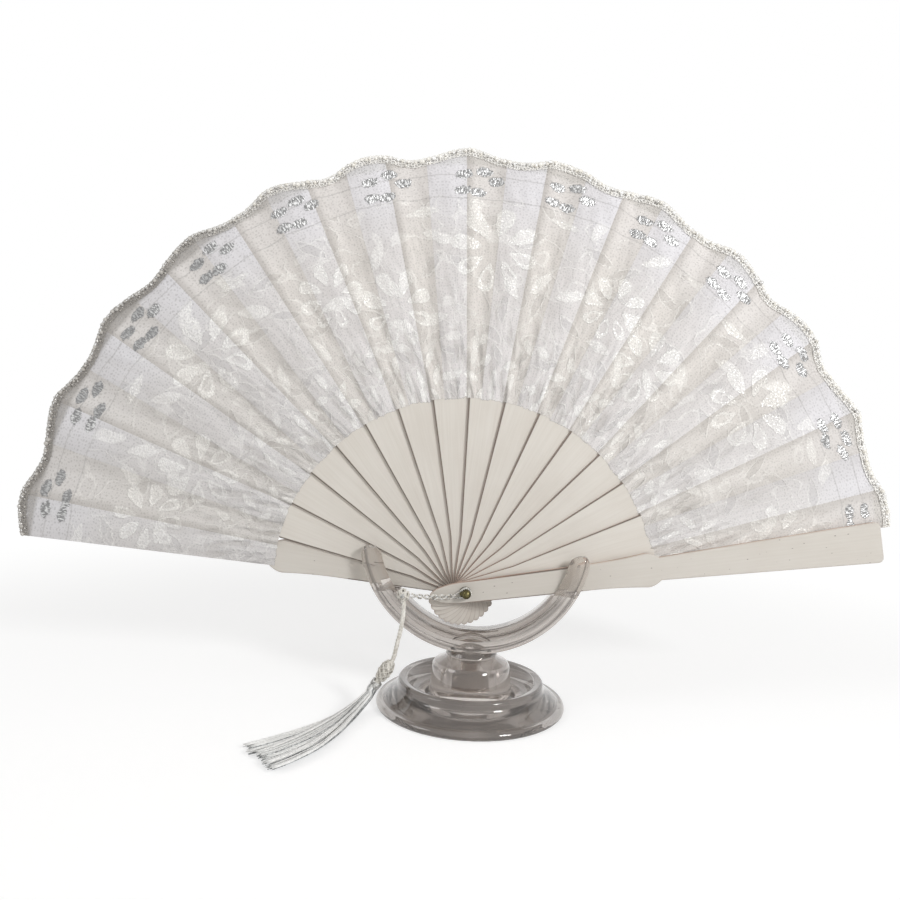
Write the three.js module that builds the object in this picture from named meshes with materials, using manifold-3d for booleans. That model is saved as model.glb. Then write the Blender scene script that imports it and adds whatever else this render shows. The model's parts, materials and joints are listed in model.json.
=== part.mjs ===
// Lace folding fan, open, standing in a clear display stand.
// Millimetres. The origin is the centre of the stand's foot, on the table; +X is to the viewer's right,
// +Y goes away from the viewer and +Z is up. The fan is built in a frame of its own, with the rivet's
// axis along Y and the open leaf in the XZ plane, and is then leaned and turned into the stand.

import * as THREE from "three";
import { mergeVertices } from "three/addons/utils/BufferGeometryUtils.js";
import Module from "manifold-3d";

const wasm = await Module();
wasm.setup();

// Sticks and guards. Distances along a stick are measured from the rivet.
const STICK_COUNT = 14;
const STICK_THICK = 1.0;
const RIB_THICK = 0.6; // thinner than the rest, which leaves room for the folded leaf
const STICK_GAP = 0.3; // running gap between neighbours
const STICK_HEAD = 18.2; // how far a head reaches beyond the rivet
const STICK_HALF_PIVOT = 5.1;
const STICK_NECK_AT = 26;
const GORGE_TOP = 96.4;
const GORGE_HALF = 11.65; // half width of a stick at the top of the gorge
const GORGE_CORNER = 1.4;
const RIB_HALF_ROOT = 5.2;
const RIB_HALF_TIP = 9.8;

const GUARD_THICK = 2.8;
const GUARD_SEAT = 0.4; // depth of the shallow seat for the leaf on a guard's blade
const GUARD_HEAD = 17.2;
const GUARD_HALF_PIVOT = 5.05;
const GUARD_WAIST_AT = 58;
const GUARD_HALF_WAIST = 6.35;
const GUARD_SHOULDER_AT = 90.5;
const GUARD_HALF_SHOULDER = 8.4;
const GUARD_BLADE_AT = 97.5;
const GUARD_HALF_BLADE = 5.65;
const GUARD_HALF_TIP = 10.3;
const GUARD_CORNER = 3.2;
const GUARD_BEVEL = 0.45;

// How far the fan is open, in degrees.
const GUARD_REST = 8.0; // each guard's rise above the horizontal
const STICK_PITCH = 10.92; // from one stick to the next
const BACK_STEP = 12.44; // from the back guard to the first stick

// Leaf and its braid.
const LEAF_INNER = 96.8;
const LEAF_OUTER = 220.9; // at the scallops' peaks
const SCALLOP = 4.8; // depth of the scallops
const SCALLOP_PITCH = 13.2; // degrees, the lace's own, so it doesn't follow the sticks
const SCALLOP_FIRST = 9.6; // angle of the first peak
const RIB_SHORT = 6.4; // how far the ribs end short of the scallops' peaks
const GUARD_SHORT = 7.3;
const RIB_TIP = LEAF_OUTER - RIB_SHORT;
const GUARD_TIP = LEAF_OUTER - GUARD_SHORT;
const LEAF_THICK = 0.3;
const LEAF_GAP = 0.3; // from the leaf to the rib it lies on
const BAND_MARGIN = 0.4; // how far the glued band reaches past the rib's edges
const RIDGE_RISE = 1.7; // how far a pleat's ridge stands forward at the outer edge
const FOLD_DIP = 1.5; // how far the free panel falls back beside the ridge
const LEAF_TUCK = 3.0; // how far the leaf goes behind the front guard
const BRAID_WIDTH = 4.0;
const BRAID_THICK = 1.1;
const BRAID_PROUD = 0.8; // how far the braid reaches past the leaf's edge

// Rivet.
const PIN_RADIUS = 1.5;
const HOLE_RADIUS = 1.7;
const PIN_HEAD_RADIUS = 3.2;
const PIN_HEAD_THICK = 1.2;
const WASHER_RADIUS = 2.9;
const WASHER_THICK = 0.4;
const CAP_NECK_RADIUS = 1.6;
const CAP_NECK_LENGTH = 2.0;
const CAP_BALL_RADIUS = 2.3;
const STUD_RADIUS = 0.9;
const RUNNING_GAP = 0.3;

// Where the fan stands in its stand.
const FAN_PIVOT = new THREE.Vector3(-5.3, -0.8, 57.3);
const FAN_LEAN = 2; // degrees, backwards
const FAN_TURN = 11; // degrees, the left side nearer the viewer

// Stand.
const FOOT_RADIUS = 46.8;
const FOOT_RIM = 3.7; // height of the rolled rim
const FOOT_ROLL = 3.2; // how far the rim reaches in before the slope starts
const FOOT_RECESS = 1.4; // depth of the ring-shaped hollow under the foot
const FOOT_SOLE = 5; // width of the ring that stands on the table
const FOOT_PAD_RADIUS = 12; // flat middle under the foot
const RING_RADIUS = 36.2;
const RING_INNER = 31.2;
const RING_TOP = 13.4;
const RING_FOOT = 8.6;
const DISH_FLOOR = 5.6;
const BELL_FOOT_RADIUS = 20.6;
const BELL_SHOULDER_RADIUS = 19.2;
const BELL_SHOULDER = 19.8; // height
const BELL_TOP = 24.6;
const SEAT_WALL = 1.9; // of the bell's mouth, round the peg
const PEG_RADIUS = 10.4;
const PEG_LENGTH = 15.2;
const COLLAR_RADIUS = 12.8;
const ARC_CENTRE_Z = 84.4;
const ARC_OUTER = 57.2;
const ARC_FACE_INNER = 51.2; // inner radius at the front and back faces
const ARC_CREST = 46.9; // inner radius along the middle
const ARC_HALF_DEPTH = 10;
const ARC_CREST_HALF = 4;
const ARC_EDGE = 1.1; // chamfer on the outer edges
const ARC_TIP_DROP = 6.8; // from the arc's centre down to the arms' rounded ends
const SLOT_HALF = 5.2;
const SLOT_SEAT_GAP = 0.3; // between a guard and the slot's floor
const NUB_RADIUS = 2;
const NUB_PROUD = 0.9;
const NUB_AT = 55.2; // radius, from the arc's centre
const GLUE_GAP = 0.2;

// Tassel. The loop's line is given in the fan's frame, the rest in the stand's.
const LOOP_STRAND = 0.55; // radius of one strand
const LOOP_TWIST_RADIUS = 0.85;
const LOOP_TURNS = 3;
const LOOP_LINE = [
  [-4.4, -14.05, -1.4], [-10.5, -14.3, -1.9], [-17.4, -14.2, -2.1], [-22.5, -13.1, -2.1],
  [-25.9, -12.0, -2.0],
];
const LOOP_GRASP = 0.7; // half turns of the neck that the loop covers on each side
const BEAD_CENTRE = new THREE.Vector3(-32.4, -17.5, 55.7);
const BEAD_RADIUS = 3.1;
const CORD_RADIUS = 1.15;
const CORD_POINTS = [
  [-32.1, -17.5, 52.2], [-32, -17.5, 50.3], [-32, -17.5, 48.2], [-32.1, -17.5, 46.1],
  [-32.35, -17.5, 43.9], [-32.65, -17.5, 41.7], [-33, -17.5, 39.5], [-33.4, -17.5, 37.4],
  [-33.8, -17.5, 35.4], [-34.3, -17.5, 33.4], [-34.7, -17.5, 31.4], [-35.1, -17.5, 29.4],
  [-35.5, -17.5, 27.4], [-36, -17.5, 25.5], [-36.7, -17.5, 23.6],
];
const HEAD_FROM = new THREE.Vector3(-37.0, -17.5, 23.1);
const HEAD_TO = new THREE.Vector3(-44.8, -18.4, 11.4);
const SKIRT_POINTS = [
  [-45.05, -18.43, 11.02], [-45.9, -18.7, 9.8], [-47.4, -21.4, 7.8], [-50.8, -28.2, 4.8],
  [-54.3, -38.6, 3.2], [-58.6, -51.7, 2.9], [-65.1, -65.3, 2.7], [-72.2, -75.4, 2.45],
  [-78.7, -82.6, 2.2],
];
const SKIRT_WIDTHS = [5.0, 6.4, 8.2, 10.0, 13.0, 17.0, 21.6, 25.4, 28.4];
const SKIRT_THICKS = [5.0, 5.6, 6.2, 6.2, 5.8, 5.3, 4.8, 4.3, 3.9];
const SKIRT_FLUTES = 14;
const FLUTE_DEPTH = 0.12; // share of the radius

const RAD = Math.PI / 180;
const SLICE = STICK_THICK + STICK_GAP;
const STACK_HALF = ((STICK_COUNT - 1) * SLICE + STICK_THICK) / 2;
const GUARD_NEAR = STACK_HALF + STICK_GAP; // a guard's inner face, from the stack's middle
const GUARD_FAR = GUARD_NEAR + GUARD_THICK;

const finishes = {
  wood: new THREE.MeshStandardMaterial({ color: 0xd6d0c6, roughness: 0.6, metalness: 0 }),
  acrylic: new THREE.MeshStandardMaterial({
    color: 0xb9b2ab, roughness: 0.08, metalness: 0, transparent: true, opacity: 0.45,
  }),
  brass: new THREE.MeshStandardMaterial({ color: 0x5d5330, roughness: 0.3, metalness: 1 }),
  lace: new THREE.MeshStandardMaterial({ color: 0xf1f1f4, roughness: 0.85, metalness: 0 }),
  braid: new THREE.MeshStandardMaterial({ color: 0xd4d4d8, roughness: 0.4, metalness: 0.5 }),
  silk: new THREE.MeshStandardMaterial({ color: 0xe2e2df, roughness: 0.4, metalness: 0 }),
};

// Closes a geometry: shared vertices merged, slivers dropped and faces turned outwards.
function solid(geometry) {
  const bare = geometry.clone();
  bare.deleteAttribute("normal");
  bare.deleteAttribute("uv");
  const merged = mergeVertices(bare, 1e-4);
  const index = [];
  for (let i = 0; i < merged.index.count; i += 3) {
    const [a, b, c] = [0, 1, 2].map((k) => merged.index.getX(i + k));
    if (a !== b && b !== c && c !== a) index.push(a, b, c);
  }
  if (signedVolume(merged.attributes.position, index) < 0) index.reverse();
  merged.setIndex(index);
  return merged;
}

function signedVolume(position, index) {
  const [a, b, c] = [new THREE.Vector3(), new THREE.Vector3(), new THREE.Vector3()];
  let total = 0;
  for (let i = 0; i < index.length; i += 3) {
    a.fromBufferAttribute(position, index[i]);
    b.fromBufferAttribute(position, index[i + 1]);
    c.fromBufferAttribute(position, index[i + 2]);
    total += a.dot(b.cross(c)) / 6;
  }
  return total;
}

function toManifold(geometry) {
  const closed = solid(geometry);
  return new wasm.Manifold(new wasm.Mesh({
    numProp: 3,
    vertProperties: new Float32Array(closed.attributes.position.array),
    triVerts: new Uint32Array(closed.index.array),
  }));
}

function fromManifold(manifold) {
  const mesh = manifold.getMesh();
  const geometry = new THREE.BufferGeometry();
  geometry.setAttribute("position", new THREE.BufferAttribute(new Float32Array(mesh.vertProperties), 3));
  geometry.setIndex(Array.from(mesh.triVerts));
  return geometry;
}

function join(...geometries) {
  return fromManifold(geometries.map(toManifold).reduce((whole, piece) => whole.add(piece)));
}

function cut(geometry, ...tools) {
  const whole = toManifold(geometry);
  return fromManifold(tools.map(toManifold).reduce((rest, tool) => rest.subtract(tool), whole));
}

function named(name, geometry, material) {
  const mesh = new THREE.Mesh(solid(geometry), material);
  mesh.name = name;
  return mesh;
}

// A closed body through rings of points, each ring capped at its middle.
function loft(rings) {
  const count = rings[0].length;
  const points = rings.flat();
  const index = [];
  for (let k = 0; k + 1 < rings.length; k += 1) {
    for (let i = 0; i < count; i += 1) {
      const [a, b] = [k * count + i, k * count + ((i + 1) % count)];
      index.push(a, b, b + count, a, b + count, a + count);
    }
  }
  const last = (rings.length - 1) * count;
  for (const [ring, start, forward] of [[rings[0], 0, false], [rings.at(-1), last, true]]) {
    const middle = ring.reduce((sum, p) => sum.add(p), new THREE.Vector3()).divideScalar(count);
    const hub = points.push(middle) - 1;
    for (let i = 0; i < count; i += 1) {
      const [a, b] = [start + i, start + ((i + 1) % count)];
      index.push(hub, forward ? a : b, forward ? b : a);
    }
  }
  const geometry = new THREE.BufferGeometry().setFromPoints(points);
  geometry.setIndex(index);
  return geometry;
}

// A lathe about +Z, from [radius, height] pairs.
function turned(profile, segments = 40) {
  const points = profile.map(([radius, height]) => new THREE.Vector2(radius, height));
  return new THREE.LatheGeometry(points, segments).rotateX(Math.PI / 2);
}

// The same about the rivet's axis, from [radius, depth] pairs.
function turnedOnRivet(profile, segments = 20) {
  const points = profile.map(([radius, depth]) => new THREE.Vector2(radius, depth));
  return new THREE.LatheGeometry(points, segments);
}

// An outline in the XZ plane made into a plate whose faces lie at the depths near and far.
function plate(shape, near, far, bevel = 0) {
  const geometry = new THREE.ExtrudeGeometry(shape, {
    depth: far - near - 2 * bevel,
    curveSegments: 8,
    bevelEnabled: bevel > 0,
    bevelThickness: bevel,
    bevelSize: bevel,
    bevelOffset: -bevel,
    bevelSegments: 1,
  });
  return geometry.rotateX(Math.PI / 2).translate(0, far - bevel, 0);
}

function pivotHole(shape) {
  const hole = new THREE.Path();
  hole.absarc(0, 0, HOLE_RADIUS, 0, 2 * Math.PI, true);
  shape.holes.push(hole);
}

// Head, neck and gorge of a stick, along +X.
function gorgeOutline() {
  const shape = new THREE.Shape();
  shape.moveTo(0, -STICK_HALF_PIVOT);
  shape.lineTo(STICK_NECK_AT, -STICK_HALF_PIVOT);
  shape.lineTo(GORGE_TOP - GORGE_CORNER - 0.5, -GORGE_HALF);
  const reach = Math.asin((GORGE_HALF - GORGE_CORNER) / GORGE_TOP);
  for (const share of [-1, -0.35, 0.35, 1]) {
    shape.lineTo(GORGE_TOP * Math.cos(share * reach), GORGE_TOP * Math.sin(share * reach));
  }
  shape.lineTo(GORGE_TOP - GORGE_CORNER - 0.5, GORGE_HALF);
  shape.lineTo(STICK_NECK_AT, STICK_HALF_PIVOT);
  shape.lineTo(0, STICK_HALF_PIVOT);
  shape.absellipse(0, 0, STICK_HEAD, STICK_HALF_PIVOT, Math.PI / 2, 1.5 * Math.PI, false, 0);
  pivotHole(shape);
  return shape;
}

function ribOutline() {
  const root = GORGE_TOP - 2 * GORGE_CORNER;
  const shape = new THREE.Shape();
  shape.moveTo(root, -RIB_HALF_ROOT);
  shape.lineTo(RIB_TIP - GUARD_CORNER, -RIB_HALF_TIP);
  shape.quadraticCurveTo(RIB_TIP, -RIB_HALF_TIP, RIB_TIP, -RIB_HALF_TIP + GUARD_CORNER);
  shape.lineTo(RIB_TIP, RIB_HALF_TIP - GUARD_CORNER);
  shape.quadraticCurveTo(RIB_TIP, RIB_HALF_TIP, RIB_TIP - GUARD_CORNER, RIB_HALF_TIP);
  shape.lineTo(root, RIB_HALF_ROOT);
  return shape;
}

// Half width of a rib at a distance from the rivet.
function ribHalf(radius) {
  const share = (radius - GORGE_TOP) / (RIB_TIP - GORGE_TOP);
  return THREE.MathUtils.lerp(RIB_HALF_ROOT, RIB_HALF_TIP, THREE.MathUtils.clamp(share, 0, 1));
}

function guardOutline() {
  const shape = new THREE.Shape();
  const flare = (GUARD_WAIST_AT + GUARD_SHOULDER_AT) / 2;
  const step = (GUARD_SHOULDER_AT + GUARD_BLADE_AT) / 2;
  shape.moveTo(0, -GUARD_HALF_PIVOT);
  shape.lineTo(GUARD_WAIST_AT, -GUARD_HALF_WAIST);
  shape.quadraticCurveTo(flare, -GUARD_HALF_WAIST, GUARD_SHOULDER_AT, -GUARD_HALF_SHOULDER);
  shape.quadraticCurveTo(step, -GUARD_HALF_SHOULDER, GUARD_BLADE_AT, -GUARD_HALF_BLADE);
  shape.lineTo(GUARD_TIP - GUARD_CORNER, -GUARD_HALF_TIP);
  shape.quadraticCurveTo(GUARD_TIP, -GUARD_HALF_TIP, GUARD_TIP, -GUARD_HALF_TIP + GUARD_CORNER);
  shape.lineTo(GUARD_TIP, GUARD_HALF_TIP - GUARD_CORNER);
  shape.quadraticCurveTo(GUARD_TIP, GUARD_HALF_TIP, GUARD_TIP - GUARD_CORNER, GUARD_HALF_TIP);
  shape.lineTo(GUARD_BLADE_AT, GUARD_HALF_BLADE);
  shape.quadraticCurveTo(step, GUARD_HALF_SHOULDER, GUARD_SHOULDER_AT, GUARD_HALF_SHOULDER);
  shape.quadraticCurveTo(flare, GUARD_HALF_WAIST, GUARD_WAIST_AT, GUARD_HALF_WAIST);
  shape.lineTo(0, GUARD_HALF_PIVOT);
  shape.absellipse(0, 0, GUARD_HEAD, GUARD_HALF_PIVOT, Math.PI / 2, 1.5 * Math.PI, false, 0);
  pivotHole(shape);
  return shape;
}

// Half width of a guard between the rivet and its waist, where the stand carries it.
function guardHalf(radius) {
  return THREE.MathUtils.lerp(GUARD_HALF_PIVOT, GUARD_HALF_WAIST, radius / GUARD_WAIST_AT);
}

// Angles are counted from the left horizontal, up and over to the right.
const guardAngle = { back: GUARD_REST, front: 180 - GUARD_REST };
const stickAngle = (number) => GUARD_REST + BACK_STEP + (number - 1) * STICK_PITCH;
const stickDepth = (number) => ((STICK_COUNT + 1) / 2 - number) * SLICE;

// Turns a plate built along +X to its angle in the open fan.
function spread(mesh, angle) {
  mesh.rotation.y = -(180 - angle) * RAD;
  return mesh;
}

function stick(number) {
  const [front, back] = [stickDepth(number) - STICK_THICK / 2, stickDepth(number) + STICK_THICK / 2];
  const body = join(plate(gorgeOutline(), front, back), plate(ribOutline(), back - RIB_THICK, back));
  const name = `stick_${String(number).padStart(2, "0")}`;
  return spread(named(name, body, finishes.wood), stickAngle(number));
}

// A guard's blade has a shallow seat for the leaf on the side that faces the sticks.
function guard(name, side, angle) {
  const [near, far] = side > 0 ? [GUARD_NEAR, GUARD_FAR] : [-GUARD_FAR, -GUARD_NEAR];
  const seatAt = side > 0 ? GUARD_NEAR : -GUARD_NEAR;
  const seat = new THREE.BoxGeometry(GUARD_TIP, 2 * GUARD_SEAT, 3 * GUARD_HALF_TIP);
  seat.translate(GUARD_BLADE_AT - 1 + GUARD_TIP / 2, seatAt, 0);
  return spread(named(name, cut(plate(guardOutline(), near, far, GUARD_BEVEL), seat), finishes.wood), angle);
}

// The leaf's glued bands, from the back guard to the last stick: the angle of each one's middle, the
// depth of the wood's face that it lies on, and the half width of that wood.
function gluedBands() {
  const bands = [{
    angle: guardAngle.back,
    face: GUARD_NEAR + GUARD_SEAT,
    half: (radius) => ribHalf(radius) - BAND_MARGIN,
  }];
  for (let number = 1; number <= STICK_COUNT; number += 1) {
    bands.push({
      angle: stickAngle(number),
      face: stickDepth(number) + STICK_THICK / 2 - RIB_THICK,
      half: ribHalf,
    });
  }
  return bands;
}

// Share of the scallops' depth that the outer edge is drawn in by at an angle.
function scallopDrop(angle) {
  return 0.5 - 0.5 * Math.cos(2 * Math.PI * (angle - SCALLOP_FIRST) / SCALLOP_PITCH);
}

// The lines of the leaf that run out from its inner edge. Each one's angle and depth are functions of the
// radius.
function leafColumns() {
  const lie = LEAF_GAP + LEAF_THICK / 2;
  const tuckedDepth = -GUARD_NEAR + lie;
  const bands = gluedBands();
  const rise = (radius) => (radius - LEAF_INNER) / (LEAF_OUTER - LEAF_INNER);
  const edge = (band, side) => (radius) =>
    band.angle + side * Math.asin((band.half(radius) + BAND_MARGIN) / radius) / RAD;
  const columns = [];
  bands.forEach((band, k) => {
    const [left, right] = [edge(band, -1), edge(band, 1)];
    const across = (share) => (radius) => THREE.MathUtils.lerp(left(radius), right(radius), share);
    for (const [share, lift] of [[0, 0], [0.3, 0], [0.62, 0.12], [1, 1]]) {
      columns.push({
        angle: across(share),
        depth: (radius) => band.face - lie - lift * RIDGE_RISE * rise(radius),
      });
    }
    const next = bands[k + 1];
    const far = next ? edge(next, -1) : tuckedEdge;
    const farDepth = next ? next.face - lie : tuckedDepth;
    for (const [share, dip] of [[0.3, 1], [0.68, 0.45]]) {
      const level = THREE.MathUtils.lerp(band.face - lie, farDepth, share);
      columns.push({
        angle: (radius) => THREE.MathUtils.lerp(right(radius), far(radius), share),
        depth: (radius) => level + dip * FOLD_DIP * rise(radius),
      });
    }
  });
  columns.push({ angle: tuckedEdge, depth: () => tuckedDepth });
  return columns;
}

// The leaf ends behind the front guard, a little way past the guard's upper edge.
function tuckedEdge(radius) {
  const share = THREE.MathUtils.clamp((radius - GUARD_BLADE_AT) / (GUARD_TIP - GUARD_BLADE_AT), 0, 1);
  const half = THREE.MathUtils.lerp(GUARD_HALF_BLADE, GUARD_HALF_TIP, share) - LEAF_TUCK;
  return guardAngle.front - Math.asin(half / radius) / RAD;
}

function fanPoint(angle, radius, depth) {
  return new THREE.Vector3(-radius * Math.cos(angle * RAD), depth, radius * Math.sin(angle * RAD));
}

// Rings of four corners along the leaf's columns: a ribbon between two radii and two depths.
function pleatedSheet(inner, outer, front, back, rows) {
  const columns = leafColumns();
  const at = (column, share, offset) => {
    const rim = LEAF_OUTER - SCALLOP * scallopDrop(column.angle(LEAF_OUTER));
    const radius = THREE.MathUtils.lerp(inner(rim), outer(rim), share);
    return fanPoint(column.angle(radius), radius, column.depth(radius) + offset);
  };
  const shares = Array.from({ length: rows + 1 }, (_, k) => k / rows);
  const rings = columns.map((column) => [
    ...shares.map((share) => at(column, share, front)),
    ...shares.toReversed().map((share) => at(column, share, back)),
  ]);
  return ribbon(rings);
}

// A closed ribbon through flat rings. A ring's first half lies on the front face, and its second half,
// in the other direction, on the back.
function ribbon(rings) {
  const count = rings[0].length;
  const index = [];
  for (let k = 0; k + 1 < rings.length; k += 1) {
    for (let i = 0; i < count; i += 1) {
      const [a, b] = [k * count + i, k * count + ((i + 1) % count)];
      index.push(a, b, b + count, a, b + count, a + count);
    }
  }
  for (const [start, forward] of [[0, false], [(rings.length - 1) * count, true]]) {
    for (let i = 0; i + 1 < count / 2; i += 1) {
      const quad = [start + i, start + i + 1, start + count - 2 - i, start + count - 1 - i];
      const [a, b, c, d] = forward ? quad : quad.toReversed();
      index.push(a, b, c, a, c, d);
    }
  }
  const geometry = new THREE.BufferGeometry().setFromPoints(rings.flat());
  geometry.setIndex(index);
  return geometry;
}

function leaf() {
  const sheet = pleatedSheet(() => LEAF_INNER, (rim) => rim, -LEAF_THICK / 2, LEAF_THICK / 2, 5);
  return named("lace_leaf", sheet, finishes.lace);
}

function braid() {
  const back = -LEAF_THICK / 2 - LEAF_GAP;
  const strip = pleatedSheet(
    (rim) => rim + BRAID_PROUD - BRAID_WIDTH, (rim) => rim + BRAID_PROUD, back - BRAID_THICK, back, 1);
  return named("leaf_braid", strip, finishes.braid);
}

// The rivet's pin comes from the back, and the ball cap sits on the stud at its front end.
const WASHER_FRONT = -GUARD_FAR - RUNNING_GAP;
const CAP_BACK = WASHER_FRONT - WASHER_THICK - RUNNING_GAP;
const BALL_DEPTH = CAP_BACK - CAP_NECK_LENGTH - CAP_BALL_RADIUS * 0.8;

function rivet() {
  const back = GUARD_FAR + 2 * RUNNING_GAP + WASHER_THICK;
  const front = CAP_BACK - CAP_NECK_LENGTH;
  const pin = turnedOnRivet([
    [0, front], [STUD_RADIUS, front], [STUD_RADIUS, CAP_BACK + RUNNING_GAP],
    [PIN_RADIUS, CAP_BACK + RUNNING_GAP], [PIN_RADIUS, back], [PIN_HEAD_RADIUS, back],
    [PIN_HEAD_RADIUS * 0.95, back + PIN_HEAD_THICK * 0.5],
    [PIN_HEAD_RADIUS * 0.6, back + PIN_HEAD_THICK * 0.9], [0, back + PIN_HEAD_THICK],
  ]);
  const bore = STUD_RADIUS + GLUE_GAP;
  const profile = [
    [0, front - GLUE_GAP], [bore, front - GLUE_GAP], [bore, CAP_BACK], [CAP_NECK_RADIUS, CAP_BACK],
  ];
  const from = Math.acos(CAP_NECK_RADIUS / CAP_BALL_RADIUS);
  const steps = 10;
  for (let k = 0; k <= steps; k += 1) {
    const turn = THREE.MathUtils.lerp(from, -Math.PI / 2, k / steps);
    const radius = k < steps ? CAP_BALL_RADIUS * Math.cos(turn) : 0;
    profile.push([radius, BALL_DEPTH + CAP_BALL_RADIUS * Math.sin(turn)]);
  }
  const cap = turnedOnRivet(profile, 24);
  const ring = (near) => turnedOnRivet([
    [HOLE_RADIUS, near], [HOLE_RADIUS, near + WASHER_THICK], [WASHER_RADIUS, near + WASHER_THICK],
    [WASHER_RADIUS, near], [HOLE_RADIUS, near],
  ], 24);
  return [
    named("rivet_pin", pin, finishes.brass),
    named("rivet_ball", cap, finishes.brass),
    named("washer_front", ring(WASHER_FRONT - WASHER_THICK), finishes.brass),
    named("washer_rear", ring(GUARD_FAR + RUNNING_GAP), finishes.brass),
  ];
}

// The fan's own frame in the stand.
function placeFan(group) {
  group.position.copy(FAN_PIVOT);
  group.rotation.set(-FAN_LEAN * RAD, 0, FAN_TURN * RAD, "ZXY");
  group.updateMatrixWorld(true);
  return group;
}

const inStand = placeFan(new THREE.Group()).matrixWorld;

function fan() {
  const group = placeFan(new THREE.Group());
  group.add(guard("guard_back", 1, guardAngle.back));
  for (let number = 1; number <= STICK_COUNT; number += 1) group.add(stick(number));
  group.add(guard("guard_front", -1, guardAngle.front));
  group.add(...rivet(), leaf(), braid());
  return group;
}

// The lowest height of a guard's under edge where it passes through an arm of the stand.
function slotFloor(side) {
  const depth = side > 0 ? -GUARD_FAR : GUARD_FAR;
  const rise = GUARD_REST * RAD;
  let lowest = Infinity;
  for (let radius = 0; radius <= GUARD_SHOULDER_AT; radius += 1) {
    const half = guardHalf(Math.min(radius, GUARD_WAIST_AT));
    const along = side * (radius * Math.cos(rise) + half * Math.sin(rise));
    const edge = new THREE.Vector3(along, depth, radius * Math.sin(rise) - half * Math.cos(rise));
    edge.applyMatrix4(inStand);
    const reach = Math.hypot(edge.x, edge.z - ARC_CENTRE_Z);
    if (reach > ARC_CREST - 2 && reach < ARC_OUTER + 2) lowest = Math.min(lowest, edge.z);
  }
  return lowest - SLOT_SEAT_GAP;
}

// The arc's cross-section at one angle. Towards an arm's end it draws in to a rounded tip.
function arcSection(angle, scale) {
  const middle = (ARC_OUTER + ARC_FACE_INNER) / 2;
  const corners = [
    [ARC_OUTER, -ARC_HALF_DEPTH + ARC_EDGE], [ARC_OUTER, ARC_HALF_DEPTH - ARC_EDGE],
    [ARC_OUTER - ARC_EDGE, ARC_HALF_DEPTH], [ARC_FACE_INNER, ARC_HALF_DEPTH],
    [ARC_CREST, ARC_CREST_HALF], [ARC_CREST, -ARC_CREST_HALF],
    [ARC_FACE_INNER, -ARC_HALF_DEPTH], [ARC_OUTER - ARC_EDGE, -ARC_HALF_DEPTH],
  ];
  const narrowing = THREE.MathUtils.lerp(0.8, 1, scale);
  return corners.map(([radius, depth]) => {
    const r = THREE.MathUtils.lerp(middle, radius, scale);
    return new THREE.Vector3(
      r * Math.cos(angle), depth * narrowing, ARC_CENTRE_Z + r * Math.sin(angle));
  });
}

function arcBody() {
  const tip = Math.asin(ARC_TIP_DROP / ARC_FACE_INNER);
  const [start, end] = [Math.PI + tip, 2 * Math.PI - tip];
  const round = (ARC_OUTER - ARC_CREST) / 2 / ARC_FACE_INNER; // angle taken by a rounded tip
  const steps = 44;
  const tipSteps = 4;
  const rings = [];
  for (let k = 0; k < tipSteps; k += 1) {
    const lean = (k / tipSteps) * Math.PI / 2;
    rings.push(arcSection(start + round * (1 - Math.cos(lean)), Math.max(Math.sin(lean), 0.12)));
  }
  for (let k = 0; k <= steps; k += 1) {
    rings.push(arcSection(THREE.MathUtils.lerp(start + round, end - round, k / steps), 1));
  }
  for (let k = tipSteps - 1; k >= 0; k -= 1) {
    const lean = (k / tipSteps) * Math.PI / 2;
    rings.push(arcSection(end - round * (1 - Math.cos(lean)), Math.max(Math.sin(lean), 0.12)));
  }
  return loft(rings);
}

function cradle() {
  const collarTop = ARC_CENTRE_Z - ARC_OUTER + 1.6;
  const pegFoot = BELL_TOP - PEG_LENGTH;
  const collarFoot = BELL_TOP + GLUE_GAP;
  const peg = turned([
    [0, pegFoot], [PEG_RADIUS - 0.6, pegFoot], [PEG_RADIUS, pegFoot + 0.8], [PEG_RADIUS, collarFoot],
    [COLLAR_RADIUS - 0.4, collarFoot], [COLLAR_RADIUS, collarFoot + 0.5],
    [COLLAR_RADIUS - 0.2, collarFoot + 1.2], [ARC_HALF_DEPTH - 0.4, collarTop], [0, collarTop],
  ]);
  const nub = new THREE.CylinderGeometry(NUB_RADIUS, NUB_RADIUS, 3 * NUB_PROUD, 16);
  nub.translate(0, -ARC_HALF_DEPTH + NUB_PROUD / 2, ARC_CENTRE_Z - NUB_AT);
  const slots = [-1, 1].map((side) => {
    const floor = slotFloor(side);
    const height = ARC_CENTRE_Z - floor;
    const box = new THREE.BoxGeometry(ARC_OUTER, 2 * SLOT_HALF, height);
    return box.translate(side * ARC_OUTER, 0, floor + height / 2);
  });
  return named("stand_cradle", cut(join(arcBody(), peg, nub), ...slots), finishes.acrylic);
}

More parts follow.
